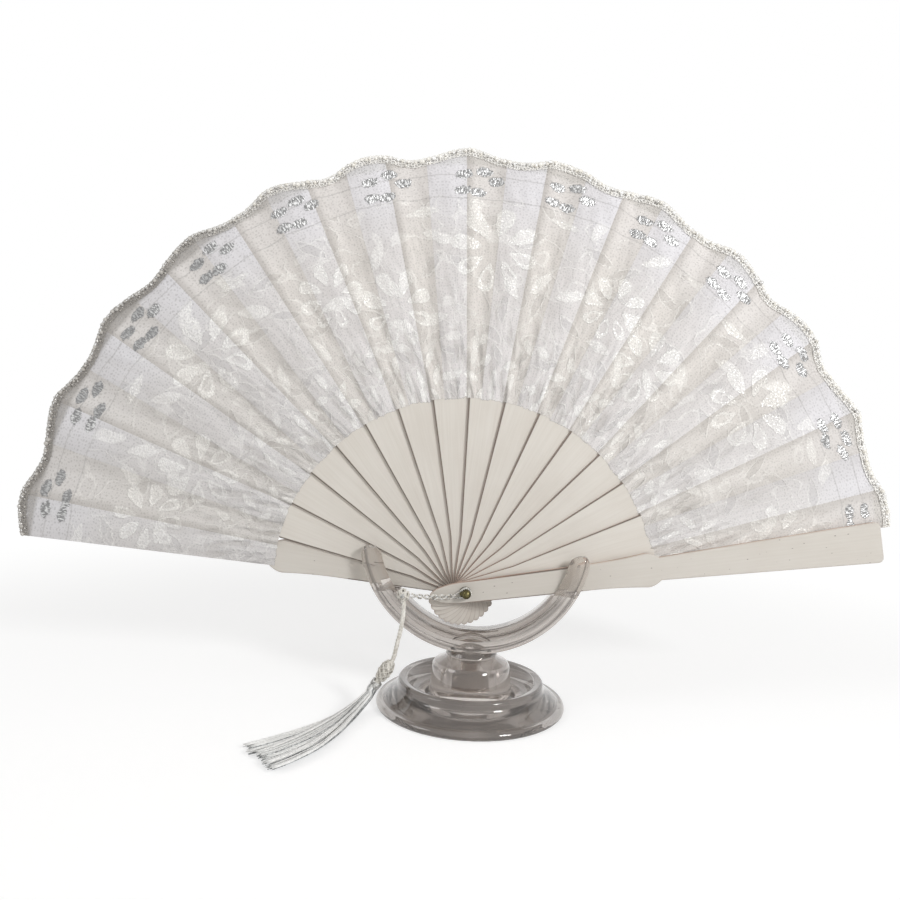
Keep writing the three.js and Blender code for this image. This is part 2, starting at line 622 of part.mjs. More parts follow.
function base() {
  const seat = PEG_RADIUS + GLUE_GAP;
  const seatFloor = BELL_TOP - PEG_LENGTH - GLUE_GAP;
  const underside = [
    [0, 0], [FOOT_PAD_RADIUS, 0], [FOOT_PAD_RADIUS + FOOT_RECESS, FOOT_RECESS],
    [FOOT_RADIUS - FOOT_SOLE - FOOT_RECESS, FOOT_RECESS], [FOOT_RADIUS - FOOT_SOLE, 0],
  ];
  const foot = [
    [FOOT_RADIUS - 1, 0], [FOOT_RADIUS - 0.2, 0.8], [FOOT_RADIUS, 1.8], [FOOT_RADIUS - 0.4, 2.9],
    [FOOT_RADIUS - 1.4, FOOT_RIM], [FOOT_RADIUS - FOOT_ROLL, FOOT_RIM],
  ];
  const ring = [
    [RING_RADIUS + 3.6, RING_FOOT - 1.9], [RING_RADIUS + 0.6, RING_FOOT], [RING_RADIUS, RING_FOOT + 1.2],
    [RING_RADIUS - 0.2, RING_TOP - 1], [RING_RADIUS - 1.2, RING_TOP], [RING_INNER + 0.8, RING_TOP - 0.7],
    [RING_INNER, RING_TOP - 1.8], [RING_INNER - 2.2, DISH_FLOOR + 1.2], [RING_INNER - 4.4, DISH_FLOOR],
  ];
  const bell = [
    [BELL_FOOT_RADIUS + 2, DISH_FLOOR], [BELL_FOOT_RADIUS, DISH_FLOOR + 1.4],
    [(BELL_FOOT_RADIUS + BELL_SHOULDER_RADIUS) / 2, (DISH_FLOOR + BELL_SHOULDER) / 2],
    [BELL_SHOULDER_RADIUS, BELL_SHOULDER], [BELL_SHOULDER_RADIUS - 1.2, BELL_SHOULDER + 1.8],
    [seat + SEAT_WALL, BELL_TOP - 0.6], [seat + SEAT_WALL - 0.7, BELL_TOP],
    [seat, BELL_TOP], [seat, seatFloor], [0, seatFloor],
  ];
  const body = turned([...underside, ...foot, ...ring, ...bell], 48);
  return named("stand_base", body, finishes.acrylic);
}

// The loop is one strand that leaves the bead, winds to the rivet, passes round its neck and winds back.
function loopPath() {
  const neckDepth = CAP_BACK - CAP_NECK_LENGTH / 2;
  const line = new THREE.CatmullRomCurve3(LOOP_LINE.map((p) => new THREE.Vector3(...p)));
  const ringRadius = CAP_NECK_RADIUS + LOOP_STRAND + RUNNING_GAP;
  const steps = 8 * LOOP_TURNS;
  const twist = (k, phase) => {
    const turn = (k / steps) * LOOP_TURNS * 2 * Math.PI + phase;
    const tangent = line.getTangent(k / steps);
    const side = new THREE.Vector3(0, 1, 0).cross(tangent).normalize();
    const face = side.clone().cross(tangent);
    return line.getPoint(k / steps).addScaledVector(side, LOOP_TWIST_RADIUS * Math.cos(turn))
      .addScaledVector(face, LOOP_TWIST_RADIUS * Math.sin(turn));
  };
  const points = [];
  for (let k = steps; k >= 0; k -= 1) points.push(twist(k, 0));
  const [towardsX, , towardsZ] = LOOP_LINE[0];
  const away = Math.atan2(-towardsZ, -towardsX);
  for (let k = 0; k <= 8; k += 1) {
    const turn = away + THREE.MathUtils.lerp(1, -1, k / 8) * LOOP_GRASP * Math.PI;
    points.push(new THREE.Vector3(ringRadius * Math.cos(turn), neckDepth, ringRadius * Math.sin(turn)));
  }
  for (let k = 0; k <= steps; k += 1) points.push(twist(k, Math.PI));
  points.forEach((point) => point.applyMatrix4(inStand));
  return new THREE.CatmullRomCurve3(points, false, "centripetal");
}

function tube(curve, radius, sides, steps) {
  const section = new THREE.Shape();
  for (let k = 0; k < sides; k += 1) {
    const turn = (k / sides) * 2 * Math.PI;
    const point = [radius * Math.cos(turn), radius * Math.sin(turn)];
    if (k === 0) section.moveTo(...point);
    else section.lineTo(...point);
  }
  return new THREE.ExtrudeGeometry(section, { steps, bevelEnabled: false, extrudePath: curve });
}

// Radii along the head, from the cord to the neck above the skirt.
const HEAD_PROFILE = [
  [0, 0], [1.9, 0], [2.6, 0.06], [3.15, 0.16], [3.45, 0.3], [3.5, 0.44], [3.2, 0.58], [2.7, 0.68],
  [2.35, 0.74], [2.75, 0.78], [2.75, 0.84], [2.5, 0.87], [2.8, 0.91], [2.8, 0.97], [2.5, 1], [0, 1],
];

function tasselHead() {
  const along = HEAD_TO.clone().sub(HEAD_FROM);
  const head = turnedOnRivet(HEAD_PROFILE.map(([radius, share]) => [radius, share * along.length()]), 16);
  const lean = new THREE.Quaternion();
  lean.setFromUnitVectors(new THREE.Vector3(0, 1, 0), along.normalize());
  head.applyQuaternion(lean);
  return named("tassel_head", head.translate(...HEAD_FROM.toArray()), finishes.silk);
}

function skirt() {
  const path = new THREE.CatmullRomCurve3(SKIRT_POINTS.map((p) => new THREE.Vector3(...p)));
  const last = SKIRT_POINTS.length - 1;
  const between = (values, share) => {
    const k = Math.min(Math.floor(share * last), last - 1);
    return THREE.MathUtils.lerp(values[k], values[k + 1], share * last - k);
  };
  const rings = [];
  const count = 2 * SKIRT_FLUTES;
  const steps = 14;
  for (let k = 0; k <= steps; k += 1) {
    const share = k / steps;
    const centre = path.getPoint(share);
    const tangent = path.getTangent(share);
    const across = new THREE.Vector3(0, 0, 1).cross(tangent).normalize();
    const up = tangent.clone().cross(across);
    const deep = FLUTE_DEPTH * Math.min(1, 3 * share);
    rings.push(Array.from({ length: count }, (_, i) => {
      const turn = (i / count) * 2 * Math.PI;
      const size = 1 - (i % 2) * deep;
      return centre.clone().addScaledVector(across, size * between(SKIRT_WIDTHS, share) / 2 * Math.cos(turn))
        .addScaledVector(up, size * between(SKIRT_THICKS, share) / 2 * Math.sin(turn));
    }));
  }
  return named("tassel_skirt", loft(rings), finishes.silk);
}

function tassel() {
  const cordPath = new THREE.CatmullRomCurve3(CORD_POINTS.map((p) => new THREE.Vector3(...p)));
  const bead = new THREE.SphereGeometry(BEAD_RADIUS, 18, 12).translate(...BEAD_CENTRE.toArray());
  return [
    named("tassel_loop", tube(loopPath(), LOOP_STRAND, 8, 78), finishes.silk),
    named("tassel_bead", bead, finishes.silk),
    named("tassel_cord", tube(cordPath, CORD_RADIUS, 8, 14), finishes.silk),
    tasselHead(),
    skirt(),
  ];
}

const model = new THREE.Group();
model.add(base(), cradle(), fan(), ...tassel());

export default model;
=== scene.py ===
# %% [markdown]
# # A lace folding fan, open in its clear stand
#
# Fourteen painted wooden sticks and two guards turn on one rivet. Floral lace is glued to their
# ribs and pleated between them, beads edge it, and a tassel hangs from the rivet. The rigid pieces
# come from the imported model. Everything soft is built here, in the space that its plain solid
# holds. The glued lace and braid and the tassel's parts are parented to empties named after the
# bodies that carry them.

# %% Load the imported model
import json
import math
import random
from functools import partial, reduce

import bpy
import numpy as np
from mathutils import Matrix, Vector, noise


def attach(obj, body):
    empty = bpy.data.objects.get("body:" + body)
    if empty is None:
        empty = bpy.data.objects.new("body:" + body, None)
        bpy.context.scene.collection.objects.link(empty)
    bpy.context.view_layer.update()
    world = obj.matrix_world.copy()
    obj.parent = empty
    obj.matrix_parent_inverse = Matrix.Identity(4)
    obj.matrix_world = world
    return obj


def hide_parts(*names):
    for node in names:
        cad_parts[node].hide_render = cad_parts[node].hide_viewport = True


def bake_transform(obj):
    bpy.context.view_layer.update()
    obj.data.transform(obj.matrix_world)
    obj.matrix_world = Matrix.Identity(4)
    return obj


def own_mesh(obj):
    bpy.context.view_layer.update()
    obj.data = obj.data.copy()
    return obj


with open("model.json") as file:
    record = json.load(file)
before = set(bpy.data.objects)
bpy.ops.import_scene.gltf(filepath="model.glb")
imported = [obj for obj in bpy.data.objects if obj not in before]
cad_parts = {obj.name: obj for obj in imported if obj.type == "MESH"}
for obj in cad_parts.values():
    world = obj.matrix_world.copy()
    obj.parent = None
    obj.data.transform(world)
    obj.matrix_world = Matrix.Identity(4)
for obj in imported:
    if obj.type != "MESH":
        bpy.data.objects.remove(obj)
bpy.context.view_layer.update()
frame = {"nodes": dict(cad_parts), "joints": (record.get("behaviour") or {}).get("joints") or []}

MM = 0.001

# %% [markdown]
# ## The camera
#
# The photograph was taken from about 35 cm, so close that the near side of the stand looks larger
# than the far side. The camera is therefore placed by its real distance and not only by its
# direction. A phone is hardly ever held dead level, hence the small roll.

# %% Camera
PHOTO_SIDE = 900  # pixels
FOCAL_PIXELS = 698.1
SENSOR = 36.0
EYE = Vector((25.9, -347.6, 129.1)) * MM
LOOK_LEFT = math.radians(6.62)
LOOK_DOWN = math.radians(0.5)
ROLL = math.radians(-2.1)


def add_to_scene(name, data):
    added = bpy.data.objects.new(name, data)
    bpy.context.scene.collection.objects.link(added)
    return added


def place_camera():
    forward = Vector((
        -math.sin(LOOK_LEFT) * math.cos(LOOK_DOWN),
        math.cos(LOOK_LEFT) * math.cos(LOOK_DOWN),
        -math.sin(LOOK_DOWN),
    ))
    level = Vector((math.cos(LOOK_LEFT), math.sin(LOOK_LEFT), 0))
    down = forward.cross(level)
    right = level * math.cos(ROLL) + down * math.sin(ROLL)
    up = level * math.sin(ROLL) - down * math.cos(ROLL)
    data = bpy.data.cameras.new("camera")
    data.sensor_width = SENSOR
    data.lens = SENSOR * FOCAL_PIXELS / PHOTO_SIDE
    data.clip_start = 0.01
    camera = add_to_scene("camera", data)
    camera.matrix_world = Matrix.Translation(EYE) @ Matrix((right, up, -forward)).transposed().to_4x4()
    bpy.context.scene.camera = camera
    return camera


camera = place_camera()
print("camera lens in mm:", round(camera.data.lens, 2))

# %% [markdown]
# ## The fan's own frame
#
# A fan is easiest to draw flat. The rivet is its centre, a stick's angle is counted from the left
# horizontal up and over to the right, and depth runs away from the viewer along the rivet. The
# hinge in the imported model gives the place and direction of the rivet, so the flat drawing always
# lands where the real sticks are.

# %% From the flat fan to the table
hinge = next(joint for joint in frame["joints"] if joint["name"] == "fan_fold")
PIVOT = Vector(hinge["pos_m"])
MID_LEAF = 150  # mm from the rivet
DEPTH = -Vector(hinge["axis"]).normalized()
ACROSS = DEPTH.cross(Vector((0, 0, 1))).normalized()
UPWARD = ACROSS.cross(DEPTH)


def on_fan(angle, radius, depth):
    """The place in metres of a point given in degrees and millimetres."""
    turn = math.radians(angle)
    flat = ACROSS * (-radius * math.cos(turn)) + UPWARD * (radius * math.sin(turn))
    return PIVOT + (flat + DEPTH * depth) * MM


def from_fan(x, depth, z):
    return PIVOT + (ACROSS * x + DEPTH * depth + UPWARD * z) * MM


def fan_places(node):
    """A node's vertices as columns of x, depth and z in the fan's frame, in millimetres."""
    places = np.array([v.co - PIVOT for v in frame["nodes"][node].data.vertices]) / MM
    return places @ np.array([ACROSS, DEPTH, UPWARD]).T


def angle_of(node):
    """A stick's angle, from the middle of its far half."""
    places = fan_places(node)
    far = places[np.hypot(places[:, 0], places[:, 2]) > MID_LEAF]
    middle = (far.min(0) + far.max(0)) / 2 if len(far) < 3 else far.mean(0)
    return math.degrees(math.atan2(middle[2], -middle[0]))


STICKS = [f"stick_{number:02d}" for number in range(1, 15)]
print("rivet at mm", [round(x / MM, 1) for x in PIVOT], "stick_01 at", round(angle_of("stick_01"), 2))

# %% [markdown]
# ## Meshes from rows of points
#
# Cords, strands, beads and cloth are all rows of points with faces between them. One collector
# gathers points, faces and their place in a pattern, and turns them into a piece. Gathering many
# small forms in one mesh keeps a thousand beads as light as one object.


# %% The collector
class Gathered:
    """Points in metres, faces and pattern places that become one piece. A face's kind is its finish."""

    def __init__(self):
        self.points, self.faces, self.places, self.kinds = [], [], [], []

    def add(self, points, faces, places, kind=0):
        first = len(self.points)
        self.points.extend(points)
        self.faces.extend(tuple(first + i for i in face) for face in faces)
        self.kinds.extend([kind] * len(faces))
        self.places.extend(places)

    def piece(self, name, finishes):
        mesh = bpy.data.meshes.new(name)
        mesh.from_pydata(self.points, [], self.faces)
        corners = [loop.vertex_index for loop in mesh.loops]
        for layer, first in (("flat", 0), ("strip", 2)):
            values = [x for i in corners for x in self.places[i][first:first + 2]]
            mesh.uv_layers.new(name=layer).data.foreach_set("uv", values)
        for finish in finishes:
            mesh.materials.append(finish)
        mesh.polygons.foreach_set("material_index", self.kinds)
        mesh.polygons.foreach_set("use_smooth", [True] * len(self.faces))
        mesh.update()
        return add_to_scene(name, mesh)


print("collector ready")


# %% Paths and tubes
def between(x, xs, ys):
    return float(np.interp(x, xs, ys))


def smooth_path(points, step):
    """A Catmull-Rom curve through points, about step apart."""
    points = [Vector(p) for p in points]
    ends = [2 * points[0] - points[1], *points, 2 * points[-1] - points[-2]]
    path = []
    for a, b, c, d in zip(ends, ends[1:], ends[2:], ends[3:]):
        count = max(1, round((c - b).length / step))
        for k in range(count):
            t = k / count
            path.append(0.5 * (2 * b + (c - a) * t + (2 * a - 5 * b + 4 * c - d) * t ** 2
                               + (3 * b - a - 3 * c + d) * t ** 3))
    return [*path, points[-1]]


def frames_along(path):
    """A point, a side and a face direction for each point of a path, without twist."""
    tangents = [(b - a).normalized() for a, b in zip([path[0], *path], [*path[1:], path[-1]])]
    tangents[0] = (path[1] - path[0]).normalized()
    side = tangents[0].orthogonal().normalized()
    frames = []
    for point, tangent in zip(path, tangents):
        side = (side - tangent * side.dot(tangent)).normalized()
        frames.append((point, side, tangent.cross(side)))
    return frames


def spoke(side, face, turn):
    """The direction that lies turn away from side, towards face."""
    return side * math.cos(turn) + face * math.sin(turn)


def quads(rows, wide, closed, first=0):
    """The faces of a grid of points. A closed grid joins its last column to its first."""
    faces = []
    for row in range(rows - 1):
        for k in range(wide if closed else wide - 1):
            a, b = (first + row * wide + column for column in (k, (k + 1) % wide))
            faces.append((a, b, b + wide, a + wide))
    return faces


def tube(gathered, path, radius, sides, kind=0, place=(0.0, 0.0, 0.0, 0.0)):
    """A closed tube along a path. Its radius is a number, or one number for each point."""
    radii = radius if hasattr(radius, "__len__") else [radius] * len(path)
    points = [point + size * spoke(side, face, 2 * math.pi * k / sides)
              for (point, side, face), size in zip(frames_along(path), radii) for k in range(sides)]
    faces = quads(len(path), sides, True)
    faces.append(tuple(reversed(range(sides))))
    faces.append(tuple(range(len(points) - sides, len(points))))
    gathered.add(points, faces, [place] * len(points), kind)


def plied(gathered, path, offset, radius, plies, lay, sides, kind=0, phase=0.0):
    """Plies that wind round a path, one full turn in each lay."""
    frames = frames_along(path)
    run = [0.0]
    for a, b in zip(path, path[1:]):
        run.append(run[-1] + (b - a).length)
    for ply in range(plies):
        wound = []
        for (point, side, face), at in zip(frames, run):
            turn = 2 * math.pi * (at / lay + ply / plies) + phase
            wound.append(point + offset * spoke(side, face, turn))
        tube(gathered, wound, radius, sides, kind)


print("mesh tools ready")

# %% [markdown]
# ## Finishes written as arithmetic
#
# A shader's pattern is a sum of simple masks, and a mask reads best as a formula. `Field` wraps a
# socket, so that `1 - hole` or `leaf * 0.5` adds the Math nodes by itself. Everything that isn't
# arithmetic goes through one method, `node`.


# %% A socket with arithmetic
def operator(kind):
    """A Math node as an operator, and its reflected form."""
    def plain(self, other):
        return self.nodes.maths(kind, self, other)

    def reflected(self, other):
        return self.nodes.maths(kind, other, self)

    return plain, reflected


class Field:
    """A socket that can stand in a formula."""

    __add__, __radd__ = operator("ADD")
    __sub__, __rsub__ = operator("SUBTRACT")
    __mul__, __rmul__ = operator("MULTIPLY")
    __truediv__, __rtruediv__ = operator("DIVIDE")
    __pow__, __rpow__ = operator("POWER")

    def __init__(self, nodes, socket):
        self.nodes, self.socket = nodes, socket

    def using(self, operation, *others):
        return self.nodes.maths(operation, self, *others)

    def __abs__(self):
        return self.using("ABSOLUTE")

    def most(self, other):
        return self.using("MAXIMUM", other)

    def least(self, other):
        return self.using("MINIMUM", other)

    def rises(self, low, high):
        """0 below low and 1 above high, and a smooth step between. It falls where low is above high."""
        settings = {"interpolation_type": "SMOOTHSTEP"}
        return self.nodes.node("ShaderNodeMapRange", settings, self, low, high, 0.0, 1.0)

    def linear(self, low, high, at_low, at_high):
        return self.nodes.node("ShaderNodeMapRange", {}, self, low, high, at_low, at_high)


def hypot(x, y):
    return (x * x + y * y).using("SQRT")


print("formulas ready")


# %% A node tree, and a finish
class Nodes:
    """A node tree in the making."""

    def __init__(self, tree):
        self.tree = tree

    def node(self, kind, settings, *values, out=0, **named):
        made = self.tree.nodes.new(kind)
        for key, value in settings.items():
            setattr(made, key, value)
        for key, value in [*enumerate(values), *((k.replace("_", " "), v) for k, v in named.items())]:
            self.feed(made.inputs[key], value)
        return Field(self, made.outputs[out])

    def feed(self, socket, value):
        if isinstance(value, Field):
            self.tree.links.new(value.socket, socket)
        else:
            socket.default_value = value

    def maths(self, operation, *values):
        return self.node("ShaderNodeMath", {"operation": operation}, *values)

    def seen(self):
        """1 for what the camera sees, also in a mirror or through glass, and 0 for light that falls."""
        kinds = ("Camera", "Glossy", "Transmission")
        rays = [self.node("ShaderNodeLightPath", {}, out=f"Is {kind} Ray") for kind in kinds]
        return (rays[0] + rays[1] + rays[2]).least(1.0)


class Finish(Nodes):
    """A material in the making, with the shader's sockets set by name."""

    def __init__(self, name, **constants):
        self.material = bpy.data.materials.new(name)
        self.material.use_nodes = True
        super().__init__(self.material.node_tree)
        self.shader = self.tree.nodes["Principled BSDF"]
        self.sets(**constants)

    def sets(self, **links):
        for socket, value in links.items():
            self.feed(self.shader.inputs[socket.replace("_", " ")], value)
        return self.material

    def vector(self, x, y, z=0.0):
        return self.node("ShaderNodeCombineXYZ", {}, x, y, z)

    def parts(self, vector):
        """The x, y and z of a vector."""
        split = self.node("ShaderNodeSeparateXYZ", {}, vector)
        return [Field(self, socket) for socket in split.socket.node.outputs]

    def vectors(self, operation, *values, out="Vector"):
        return self.node("ShaderNodeVectorMath", {"operation": operation}, *values, out=out)

    def dot(self, vector, direction):
        return self.vectors("DOT_PRODUCT", vector, direction, out="Value")

    def colour(self, factor, first, second):
        made = self.tree.nodes.new("ShaderNodeMix")
        made.data_type = "RGBA"
        for place, value in ((0, factor), (6, first), (7, second)):
            self.feed(made.inputs[place], value)
        return Field(self, made.outputs[2])

    def layers(self, base, *coats):
        """A base colour under coats. Each coat is a mask and a colour."""
        for mask, tone in coats:
            base = self.colour(mask, base, tone)
        return base

    def cloud(self, vector, scale, detail=2.0):
        """Noise from 0 to 1 with about scale blobs to a unit of the vector."""
        return self.node("ShaderNodeTexNoise", {}, Vector=vector, Scale=scale, Detail=detail)

    def blots(self, x, y, detail=2.0):
        return self.cloud(self.vector(x, y), 1.0, detail)

    def cells(self, vector, feature="F1", out=0, **named):
        """Uneven cells, about one to a unit of the vector."""
        settings = {"voronoi_dimensions": "2D", "feature": feature}
        return self.node("ShaderNodeTexVoronoi", settings, out=out, Vector=vector, **named)

    def bump(self, height, strength, distance):
        return self.node("ShaderNodeBump", {}, Strength=strength, Distance=distance, Height=height)

    def object_place(self):
        """Where the surface is at rest, in metres."""
        return self.node("ShaderNodeTexCoord", {}, out="Object")

    def pattern(self, layer):
        """Where the surface is in the flat drawing, or across its strip."""
        return self.node("ShaderNodeUVMap", {"uv_map": layer})

    def fan_place(self):
        """x, depth and z in the fan's frame, in millimetres."""
        place = self.object_place()
        axes = (ACROSS, DEPTH, UPWARD)
        return [self.dot(place, axis / MM) - PIVOT.dot(axis) / MM for axis in axes]


print("finish tools ready")

# %% [markdown]
# ## The tassel's cords
#
# A thin silver and white cord starts in the knot, winds to the rivet, goes round the neck of the
# ball and winds back. A thicker one hangs from the knot, and its last stretch runs inside the woven
# head. Both are real plied cords: a bumpy tube would not show the twist in its outline. Their
# routes are given as points and lie inside the plain solids that they stand for.

# %% Thread finishes
SILK_WHITE = (0.86, 0.835, 0.78, 1)
SILK_SHADE = (0.60, 0.57, 0.51, 1)


def silk(name, tint=SILK_WHITE, shade=SILK_SHADE, metal=0.0):
    finish = Finish(name, Sheen_Weight=0.25, Sheen_Roughness=0.4)
    place = finish.object_place()
    lustre = finish.cloud(place, 900, 3.0)
    broad = finish.cloud(place, 90)
    tone = (lustre * 0.7 + broad * 0.3).rises(0.35, 0.62)
    finish.sets(Base_Color=finish.colour(tone, shade, tint),
                Roughness=lustre.linear(0.3, 0.7, 0.28, 0.5))
    if metal:
        finish.sets(Metallic=lustre.rises(0.5, 0.6) * metal)
    return finish.sets(Normal=finish.bump(lustre, 0.35, 0.0002))


thread = silk("silk_thread")
silver_thread = silk("silver_thread", (0.90, 0.90, 0.88, 1), (0.20, 0.19, 0.175, 1), 0.6)
print("threads:", thread.name, silver_thread.name)

# %% Loop and hanging cord
LOOP_LINE = [(-4.4, -14.05, -1.4), (-10.5, -14.3, -1.9), (-17.4, -14.2, -2.1),
             (-22.5, -13.1, -2.1), (-25.9, -12.0, -2.0)]
LOOP_STRAND = 0.55  # radius
LOOP_TWIST = 0.85  # radius of the winding
LOOP_TURNS = 3
LOOP_RING = 2.45  # radius round the ball's neck
LOOP_RING_DEPTH = -14.05
LOOP_GRASP = 0.7  # share of a half turn round the neck, on each side
KNOT = Vector((-32.4, -17.5, 55.7)) * MM
CORD_LINE = [(-32.1, 52.2), (-32, 50.3), (-32, 48.2), (-32.1, 46.1), (-32.35, 43.9), (-32.65, 41.7),
             (-33, 39.5), (-33.4, 37.4), (-33.8, 35.4), (-34.3, 33.4), (-34.7, 31.4), (-35.1, 29.4),
             (-35.5, 27.4), (-36, 25.5), (-36.7, 23.6)]  # x and z, straight below the knot
CORD_RADIUS = 1.15
HEAD_FROM = Vector((-37.0, -17.5, 23.1)) * MM
HEAD_TO = Vector((-44.8, -18.4, 11.4)) * MM


def loop_route():
    line = smooth_path(LOOP_LINE, 0.8)
    frames = frames_along(line)
    last = len(line) - 1

    def winding(k, phase):
        point, _, _ = frames[k]
        tangent = (line[min(k + 1, last)] - line[max(k - 1, 0)]).normalized()
        side = Vector((0, 1, 0)).cross(tangent).normalized()
        return point + LOOP_TWIST * spoke(side, side.cross(tangent), 2 * math.pi * LOOP_TURNS * k / last + phase)

    out = [winding(k, 0.0) for k in range(last, -1, -1)]
    back = [winding(k, math.pi) for k in range(last + 1)]
    away = math.atan2(-LOOP_LINE[0][2], -LOOP_LINE[0][0])
    ring = []
    for k in range(9):
        turn = away + (1 - k / 4) * LOOP_GRASP * math.pi
        ring.append(Vector((LOOP_RING * math.cos(turn), LOOP_RING_DEPTH, LOOP_RING * math.sin(turn))))
    return smooth_path([from_fan(*p) for p in [*out[::2], *ring, *back[::2]]], 0.35 * MM)


def length_of(path):
    return sum((b - a).length for a, b in zip(path, path[1:]))


def on_tassel(piece, stands_for):
    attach(piece, "tassel")
    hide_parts(stands_for)
    return piece


def cord_piece(name, stands_for, path, radius, plies, lay, finishes, exit):
    cord = Gathered()
    for ply, finish in enumerate(finishes):
        plied(cord, path, radius * 0.5, radius * 0.5, plies // len(finishes), lay, 6, ply,
              2 * math.pi * ply / plies)
    piece = on_tassel(cord.piece(name, finishes), stands_for)
    length_of(path)
    print(f"{name}: {length_of(path) / MM:.0f} mm of {2 * radius / MM:.1f} mm cord")


print("cord tools ready")

# %% Knot, loop, cord and head
KNOT_RADIUS = 2.35
KNOT_CORD = 0.36  # radius of each of two plies
KNOT_BIGHTS, KNOT_TURNS = 5, 3
KNOT_STEPS = 240
CORE_RADIUS = 1.9


def knotted_ball():
    """A Turk's head: one cord that winds over and under itself round a ball."""
    ball = Gathered()
    path = []
    for k in range(KNOT_STEPS + 1):
        turn = 2 * math.pi * k / KNOT_STEPS
        across, about = 1.12 * math.sin(KNOT_BIGHTS * turn), KNOT_TURNS * turn
        size = KNOT_RADIUS + 0.32 * math.cos(2 * KNOT_BIGHTS * turn)
        path.append(KNOT + size * MM * Vector((
            math.cos(across) * math.cos(about), math.sin(across), math.cos(across) * math.sin(about))))
    plied(ball, path, KNOT_CORD * MM, KNOT_CORD * MM, 2, 3.2 * MM, 5)
    core = smooth_path([KNOT - Vector((0, 2.9 * MM, 0)), KNOT + Vector((0, 2.4 * MM, 0))], 0.4 * MM)
    shares = [min(0.97, max(0.1, k / (len(core) - 1))) for k in range(len(core))]
    tube(ball, core, [CORE_RADIUS * MM * math.sin(math.pi * share) ** 0.6 for share in shares], 14, 1)
    return on_tassel(ball.piece("tassel_knot", [thread, silver_thread]), "tassel_bead")


HEAD_OUTLINE = [(0.0, 1.5), (0.06, 2.2), (0.16, 2.75), (0.3, 3.05), (0.44, 3.0), (0.58, 2.6), (0.68, 2.1),
                (0.76, 1.9), (0.86, 2.0), (1.0, 2.1)]  # share of the length, radius
HEAD_STEPS = 60
HEAD_STRANDS = 6  # each way
HEAD_TWIST = 5.2  # radians from end to end
WOVEN_SHARE = 0.74  # the rest is the bound neck
BINDINGS, BINDING_RADIUS = 4, 2.35


def woven_head():
    """Cords that cross over and under each other down a pear-shaped core, with a bound neck."""
    head = Gathered()
    along = HEAD_TO - HEAD_FROM
    shares, sizes = zip(*HEAD_OUTLINE)
    line = [HEAD_FROM + along * (k / HEAD_STEPS) for k in range(HEAD_STEPS + 1)]
    frames = frames_along(line)
    core = [0.78 * MM * between(k / HEAD_STEPS, shares, sizes) for k in range(HEAD_STEPS + 1)]
    tube(head, line, core, 14)
    for way in (1, -1):
        for strand in range(HEAD_STRANDS):
            start = 2 * math.pi * (strand + 0.25 * (way > 0)) / HEAD_STRANDS
            path = []
            for k in range(int(WOVEN_SHARE * HEAD_STEPS)):
                share = k / HEAD_STEPS
                weave = 0.22 * math.cos(HEAD_STRANDS * start + way * 30 * share)
                size = (between(share, shares, sizes) + weave) * MM
                point, side, face = frames[k]
                path.append(point + size * spoke(side, face, way * HEAD_TWIST * share + start))
            plied(head, path, 0.21 * MM, 0.22 * MM, 2, 1.9 * MM, 5)
    _, side, face = frames[-1]
    for ring in range(BINDINGS):
        centre = HEAD_FROM + along * (0.8 + 0.055 * ring)
        turns = [2 * math.pi * k / 24 for k in range(25)]
        path = [centre + (BINDING_RADIUS * spoke(side, face, turn) + along.normalized() * turn * 0.1) * MM
                for turn in turns]
        tube(head, path, 0.36 * MM, 6, 1)
    return on_tassel(head.piece("tassel_woven_head", [thread, silver_thread]), "tassel_head")


knot = knotted_ball()
head = woven_head()
cord_piece("tassel_loop_cord", "tassel_loop", loop_route(), LOOP_STRAND * MM, 2, 2.6 * MM,
           [thread, silver_thread], from_fan(*LOOP_LINE[-1]))
below = [Vector((x * MM, KNOT.y, z * MM)) for x, z in CORD_LINE]
hanging = smooth_path([KNOT, *below, HEAD_FROM, HEAD_FROM.lerp(HEAD_TO, 0.25)], 0.5 * MM)
cord_piece("tassel_hanging_cord", "tassel_cord", hanging, CORD_RADIUS * MM, 3, 5.0 * MM, [thread],
           KNOT)

# %% [markdown]
# ## The tassel's skirt
#
# The skirt is a few hundred loose silk threads bound at the neck. They fall to the table, spread
# and turn towards the viewer, and their ends are not quite even. Each thread follows the same
# centre line with its own offset, which opens out with the width of the skirt, and a slow wander of
# its own. Thin tubes are used because hair curves would not reach an exported mesh.

# %% Skirt
SKIRT_POINTS = [(-45.05, -18.43, 11.02), (-45.9, -18.7, 9.8), (-47.4, -21.4, 7.8), (-50.8, -28.2, 4.8),
                (-54.3, -38.6, 3.2), (-58.6, -51.7, 2.9), (-65.1, -65.3, 2.7), (-72.2, -75.4, 2.45),
                (-78.7, -82.6, 2.2)]
SKIRT_WIDTHS = [5.0, 6.4, 8.4, 10.8, 14.6, 19.0, 23.6, 27.0, 29.6]
SKIRT_THICKS = [5.0, 5.6, 6.2, 6.2, 5.8, 5.3, 4.8, 4.3, 3.9]
SKIRT_THREADS = 320
SKIRT_LOCKS = 21
THREAD_RADIUS = 0.21


